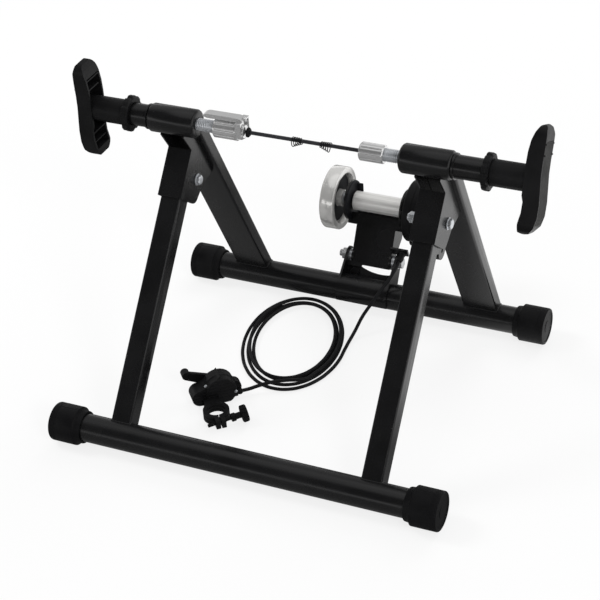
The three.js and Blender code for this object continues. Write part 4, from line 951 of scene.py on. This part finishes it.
# Arm of the magnet carrier, which the cable pulls
ARM_TURN = math.radians(-58)
ARM_OUT = 45
ARM_WIDTH, ARM_LENGTH, ARM_CORNER = 14, 16, 4.6
arm = []
for a, b in section(ARM_WIDTH, ARM_LENGTH, ARM_CORNER):
    out = b - ARM_OUT
    arm.append((ROLLER_Y + a * math.cos(ARM_TURN) - out * math.sin(ARM_TURN),
                ROLLER_Z + a * math.sin(ARM_TURN) + out * math.cos(ARM_TURN)))
cover_face = ends("magnet_carrier")[0]
plate("magnet_carrier_arm", arm, cover_face + 0.1, cover_face + 6.9, "black_plastic", "magnet_cover")


# Fasteners
WASHER_SHARE, WASHER_HEIGHT = 1.12, 1.3
HEAD_CHAMFER, HEAD_TOP_SHARE = 1, 0.8
HEXAGON_SHARE = 0.866


def bolt_head(name, x, centre, radius, height, slot, body, side=1, stands_for=(), shank=0):
    """A washer and a chamfered hexagonal head that looks along +X, or -X with side -1."""
    top = x + height
    washer = radius * WASHER_SHARE
    profile = [(x, shank), (x, washer), (x + WASHER_HEIGHT, washer), (x + WASHER_HEIGHT, radius),
               (top - HEAD_CHAMFER, radius), (top, radius * HEAD_TOP_SHARE)]
    if shank:
        profile += [(top, shank)]
    else:
        profile += [(top + 0.3, radius * 0.5), (top + 0.3, 0)]
    return turned(name, profile, centre, slot, body, stands_for, side=side, steps=96, edge=0.25,
                  radius_at=hexagon(radius * HEXAGON_SHARE, first=3, last=4))


at_fold = (FOLD_Y, FOLD_Z)
channel_side = ends("channel_right")[1] - LEG_X
head_seat = channel_side + SEAT
FOLD_BOLT_RADIUS = 5
FOLD_HEAD_RADIUS, FOLD_HEAD_HEIGHT = 7.1, 5.8
LOCK_NUT_RADIUS, LOCK_NUT_HEIGHT, LOCK_NUT_PLACE = 7.4, 8.6, 26
bolt_reach = {"left": 25.5, "right": 36.5}
for hand, side in SIDES:
    bolt_end = side * LEG_X - bolt_reach[hand]
    bolt_start = side * LEG_X + head_seat + 0.05
    bolt = [(bolt_end, 0), (bolt_end, FOLD_BOLT_RADIUS - 0.6), (bolt_end + 1, FOLD_BOLT_RADIUS),
            (bolt_start, FOLD_BOLT_RADIUS), (bolt_start, 0)]
    turned(f"fold_shank_{hand}", bolt, at_fold, "steel", "rear_frame", steps=40, edge=0.2)
    bolt_head(f"fold_head_{hand}", side * LEG_X + head_seat, at_fold, FOLD_HEAD_RADIUS,
              FOLD_HEAD_HEIGHT, "steel", "rear_frame", stands_for=(f"fold_bolt_{hand}",))
    bolt_head(f"fold_nut_{hand}_fine", head_seat - side * LEG_X, at_fold, FOLD_HEAD_RADIUS,
              FOLD_HEAD_HEIGHT, "steel", "rear_frame", side=-1, stands_for=(f"fold_nut_{hand}",),
              shank=FOLD_BOLT_RADIUS + SEAT)
bolt_head("fold_lock_nut", LOCK_NUT_PLACE - LEG_X, at_fold, LOCK_NUT_RADIUS, LOCK_NUT_HEIGHT,
          "steel", "rear_frame", side=-1)
unit_tab = rectangle(ROLLER_Y + 15, ROLLER_Y + 18, ROLLER_Z + 6, ROLLER_Z + 19)
plate("unit_tab", unit_tab, EAR_FACE - 0.2, EAR_FACE + 10, "frame_paint", "resistance_unit",
      finish=matte_dark)


# Shifter on the floor: screws in its face, and the lobed clamp knob with its screw
SHIFTER_X, SHIFTER_Y = -118.5, 145
YAW = math.radians(41)
KNOB_TILT = math.radians(8)
KNOB_RADIUS, KNOB_LOBES = 12, 12
KNOB_FOOT = (-4, -69.5, 8.22)
KNOB_SCREW_RADIUS = 2.5
FACE_SCREWS = {
    "front": ((31.5, -19.7, 14.5), (0, -1, 0)),
    "side": ((-8, -12, 28.2), (-0.355, 0, 0.935)),
}


def shifter_way(x, y, z):
    """A direction on the shifter in the frame's directions."""
    return x * math.cos(YAW) - y * math.sin(YAW), x * math.sin(YAW) + y * math.cos(YAW), z


def on_shifter(x, y, z):
    """A place on the shifter in the frame's places."""
    way_x, way_y, _ = shifter_way(x, y, z)
    return SHIFTER_X + way_x, SHIFTER_Y + way_y, z


def knob_profile():
    """A screw with a rounded tip, its collar and neck, and the wide knob on its end."""
    screw = [(-18, 0), (-18, 1.9), (-17.2, KNOB_SCREW_RADIUS), (14.6, KNOB_SCREW_RADIUS)]
    collar = [(14.6, 4.6), (15.4, 5.8), (20.6, 5.8), (21.6, 4.4), (28.6, 4.4)]
    near = [(28.9, 9.6), (29.8, KNOB_RADIUS - 0.4), (30.6, KNOB_RADIUS)]
    far = [(36.4, KNOB_RADIUS), (37.3, KNOB_RADIUS - 0.4), (38, 10.2)]
    return screw + collar + near + far + [(38, 5), (37.2, 4.6), (37.2, 0)]


screw_dome = lathe([(-1, 0), (-1, 2.3), (0.5, 2.3), (1.1, 1.9), (1.5, 1.1), (1.1, 0.9), (1.1, 0)],
                   (0, 0), steps=32)
remote = [nodes[f"shifter_{name}"] for name in ("pod", "clamp", "barrel", "lever")]
for face, (where, way) in FACE_SCREWS.items():
    remote.append(make(f"shifter_screw_{face}",
                       *aimed(screw_dome, on_shifter(*where), shifter_way(*way)), "steel",
                       "rear_frame", edge=0.15))
knob = lathe(knob_profile(), (0, 0), steps=216,
             radius_at=flutes(KNOB_RADIUS, KNOB_LOBES, 2.3, centre_at=KNOB_RADIUS + 0.4, first=9,
                              last=14))
knob_axis = shifter_way(math.cos(KNOB_TILT), 0, math.sin(KNOB_TILT))
remote.append(make("shifter_knob_fine", *aimed(knob, on_shifter(*KNOB_FOOT), knob_axis),
                   "black_plastic", "shifter_knob", ("shifter_knob",), edge=0.25))


# Floor, light and background, placed in metres; an area of painted light on the floor, as reflections see it,
# is X from and to, then Y from and to
WHITE = (1, 1, 1, 1)
FLOOR_GREY = (0.8, 0.8, 0.8, 1)
FLOOR_SHOWN = 0.8
FLOOR_REACH = 14
FLOOR_BELOW = 0.0003
# Painted shade: the colour reflections see on the floor under the stand, and the areas where that painted
# shadow turns white
PAINTED_FLOOR_SHADE = (0.2, 0.2, 0.2)
PAINTED_LIGHT_RIGHT = (0.13, 0.27, -0.12, 0.02)
PAINTED_LIGHT_BEHIND = (0.04, 0.08, 0.24, 0.3)
SKY_STRENGTH = 0.6
LAMP_AIM = Vector((0, 0, 0.15))


def floor_finish():
    """Pale to the camera; reflections see a painted shadow on it under the stand, which fades to white to its
    right and behind.
    """
    mat = bpy.data.materials.new("floor")
    mat.use_nodes = True
    tree = mat.node_tree
    tree.nodes.clear()
    diffuse = tree.nodes.new("ShaderNodeBsdfDiffuse")
    diffuse.inputs["Color"].default_value = FLOOR_GREY
    glow = tree.nodes.new("ShaderNodeEmission")
    glow.inputs["Color"].default_value = WHITE
    path = tree.nodes.new("ShaderNodeLightPath")
    share = calculate(tree, "MULTIPLY", path.outputs["Is Camera Ray"], FLOOR_SHOWN)
    shown = mixed(tree, share, diffuse.outputs[0], glow.outputs[0])

    # Painted shade and light for glossy rays: an emission that is dark under the stand and white in the
    # painted lit areas
    axes = split_axes(tree, "Object")
    painted_light_areas = []
    for x0, x1, y0, y1 in (PAINTED_LIGHT_RIGHT, PAINTED_LIGHT_BEHIND):
        painted_light_areas.append(calculate(tree, "MULTIPLY", spread(tree, axes["X"], 0, 1, x0, x1),
                                   spread(tree, axes["Y"], 0, 1, y0, y1)))
    painted_light = calculate(tree, "MAXIMUM", *painted_light_areas)
    mirrored = tree.nodes.new("ShaderNodeEmission")
    tree.links.new(tint(tree, painted_light, PAINTED_FLOOR_SHADE, WHITE[:3], start=0, stop=1),
                   mirrored.inputs["Color"])
    out = tree.nodes.new("ShaderNodeOutputMaterial")
    tree.links.new(mixed(tree, path.outputs["Is Glossy Ray"], shown, mirrored.outputs[0]),
                   out.inputs["Surface"])
    return mat


def sky():
    """White to the camera and a plain light; reflections see a studio that is dark in front of the object."""
    world = bpy.data.worlds.new("studio")
    world.use_nodes = True
    tree = world.node_tree
    tree.nodes.clear()
    axes = split_axes(tree, "Generated")
    above_floor = spread(tree, axes["Z"], 0, 1, start=0.1, stop=0.24, smooth=True)
    below_ceiling = spread(tree, axes["Z"], 1, 0.5, start=0.82, stop=0.92, smooth=True)
    front = spread(tree, axes["Y"], 0.94, 0.62, start=-0.1, stop=0.3, smooth=True)
    left_of_wall = spread(tree, axes["X"], 1, 0.15, start=0.62, stop=0.8, smooth=True)
    dark = calculate(tree, "MULTIPLY", calculate(tree, "MULTIPLY", above_floor, below_ceiling),
                     calculate(tree, "MULTIPLY", front, left_of_wall))
    path = tree.nodes.new("ShaderNodeLightPath")
    seen = tree.nodes.new("ShaderNodeMixRGB")
    seen.inputs["Color1"].default_value = WHITE
    seen.inputs["Color2"].default_value = (0, 0, 0, 1)
    tree.links.new(calculate(tree, "MULTIPLY", dark, path.outputs["Is Glossy Ray"]),
                   seen.inputs["Fac"])
    shown = tree.nodes.new("ShaderNodeBackground")
    tree.links.new(seen.outputs["Color"], shown.inputs["Color"])
    light = tree.nodes.new("ShaderNodeBackground")
    light.inputs["Color"].default_value = WHITE
    light.inputs["Strength"].default_value = SKY_STRENGTH
    looked_at = calculate(tree, "MAXIMUM", path.outputs["Is Camera Ray"], path.outputs["Is Glossy Ray"])
    out = tree.nodes.new("ShaderNodeOutputWorld")
    tree.links.new(mixed(tree, looked_at, light.outputs[0], shown.outputs[0]), out.inputs["Surface"])
    return world


def lamp(name, where, size, watts):
    """A soft lamp that looks at the stand and isn't mirrored in it."""
    data = bpy.data.lights.new(name, "AREA")
    data.size = size
    data.energy = watts
    obj = bpy.data.objects.new(name, data)
    bpy.context.scene.collection.objects.link(obj)
    obj.location = where
    obj.visible_glossy = False
    aim = LAMP_AIM - Vector(where)
    obj.rotation_euler = aim.to_track_quat("-Z", "Y").to_euler()


floor_mesh = bpy.data.meshes.new("floor")
floor_mesh.from_pydata([(x * FLOOR_REACH, y * FLOOR_REACH, -FLOOR_BELOW)
                        for x, y in ((-1, -1), (1, -1), (1, 1), (-1, 1))], [], [(0, 1, 2, 3)])
floor_mesh.materials.append(floor_finish())
floor = bpy.data.objects.new("floor", floor_mesh)
bpy.context.scene.collection.objects.link(floor)
bpy.context.scene.world = sky()
lamp("key", (-2.7, -0.3, 2.9), size=1.2, watts=60)
lamp("side", (2.0, -1.8, 1.8), size=0.7, watts=30)
lamp("back", (0.3, 2.4, 2.4), size=1.6, watts=35)

bpy.context.scene.view_settings.view_transform = "Standard"
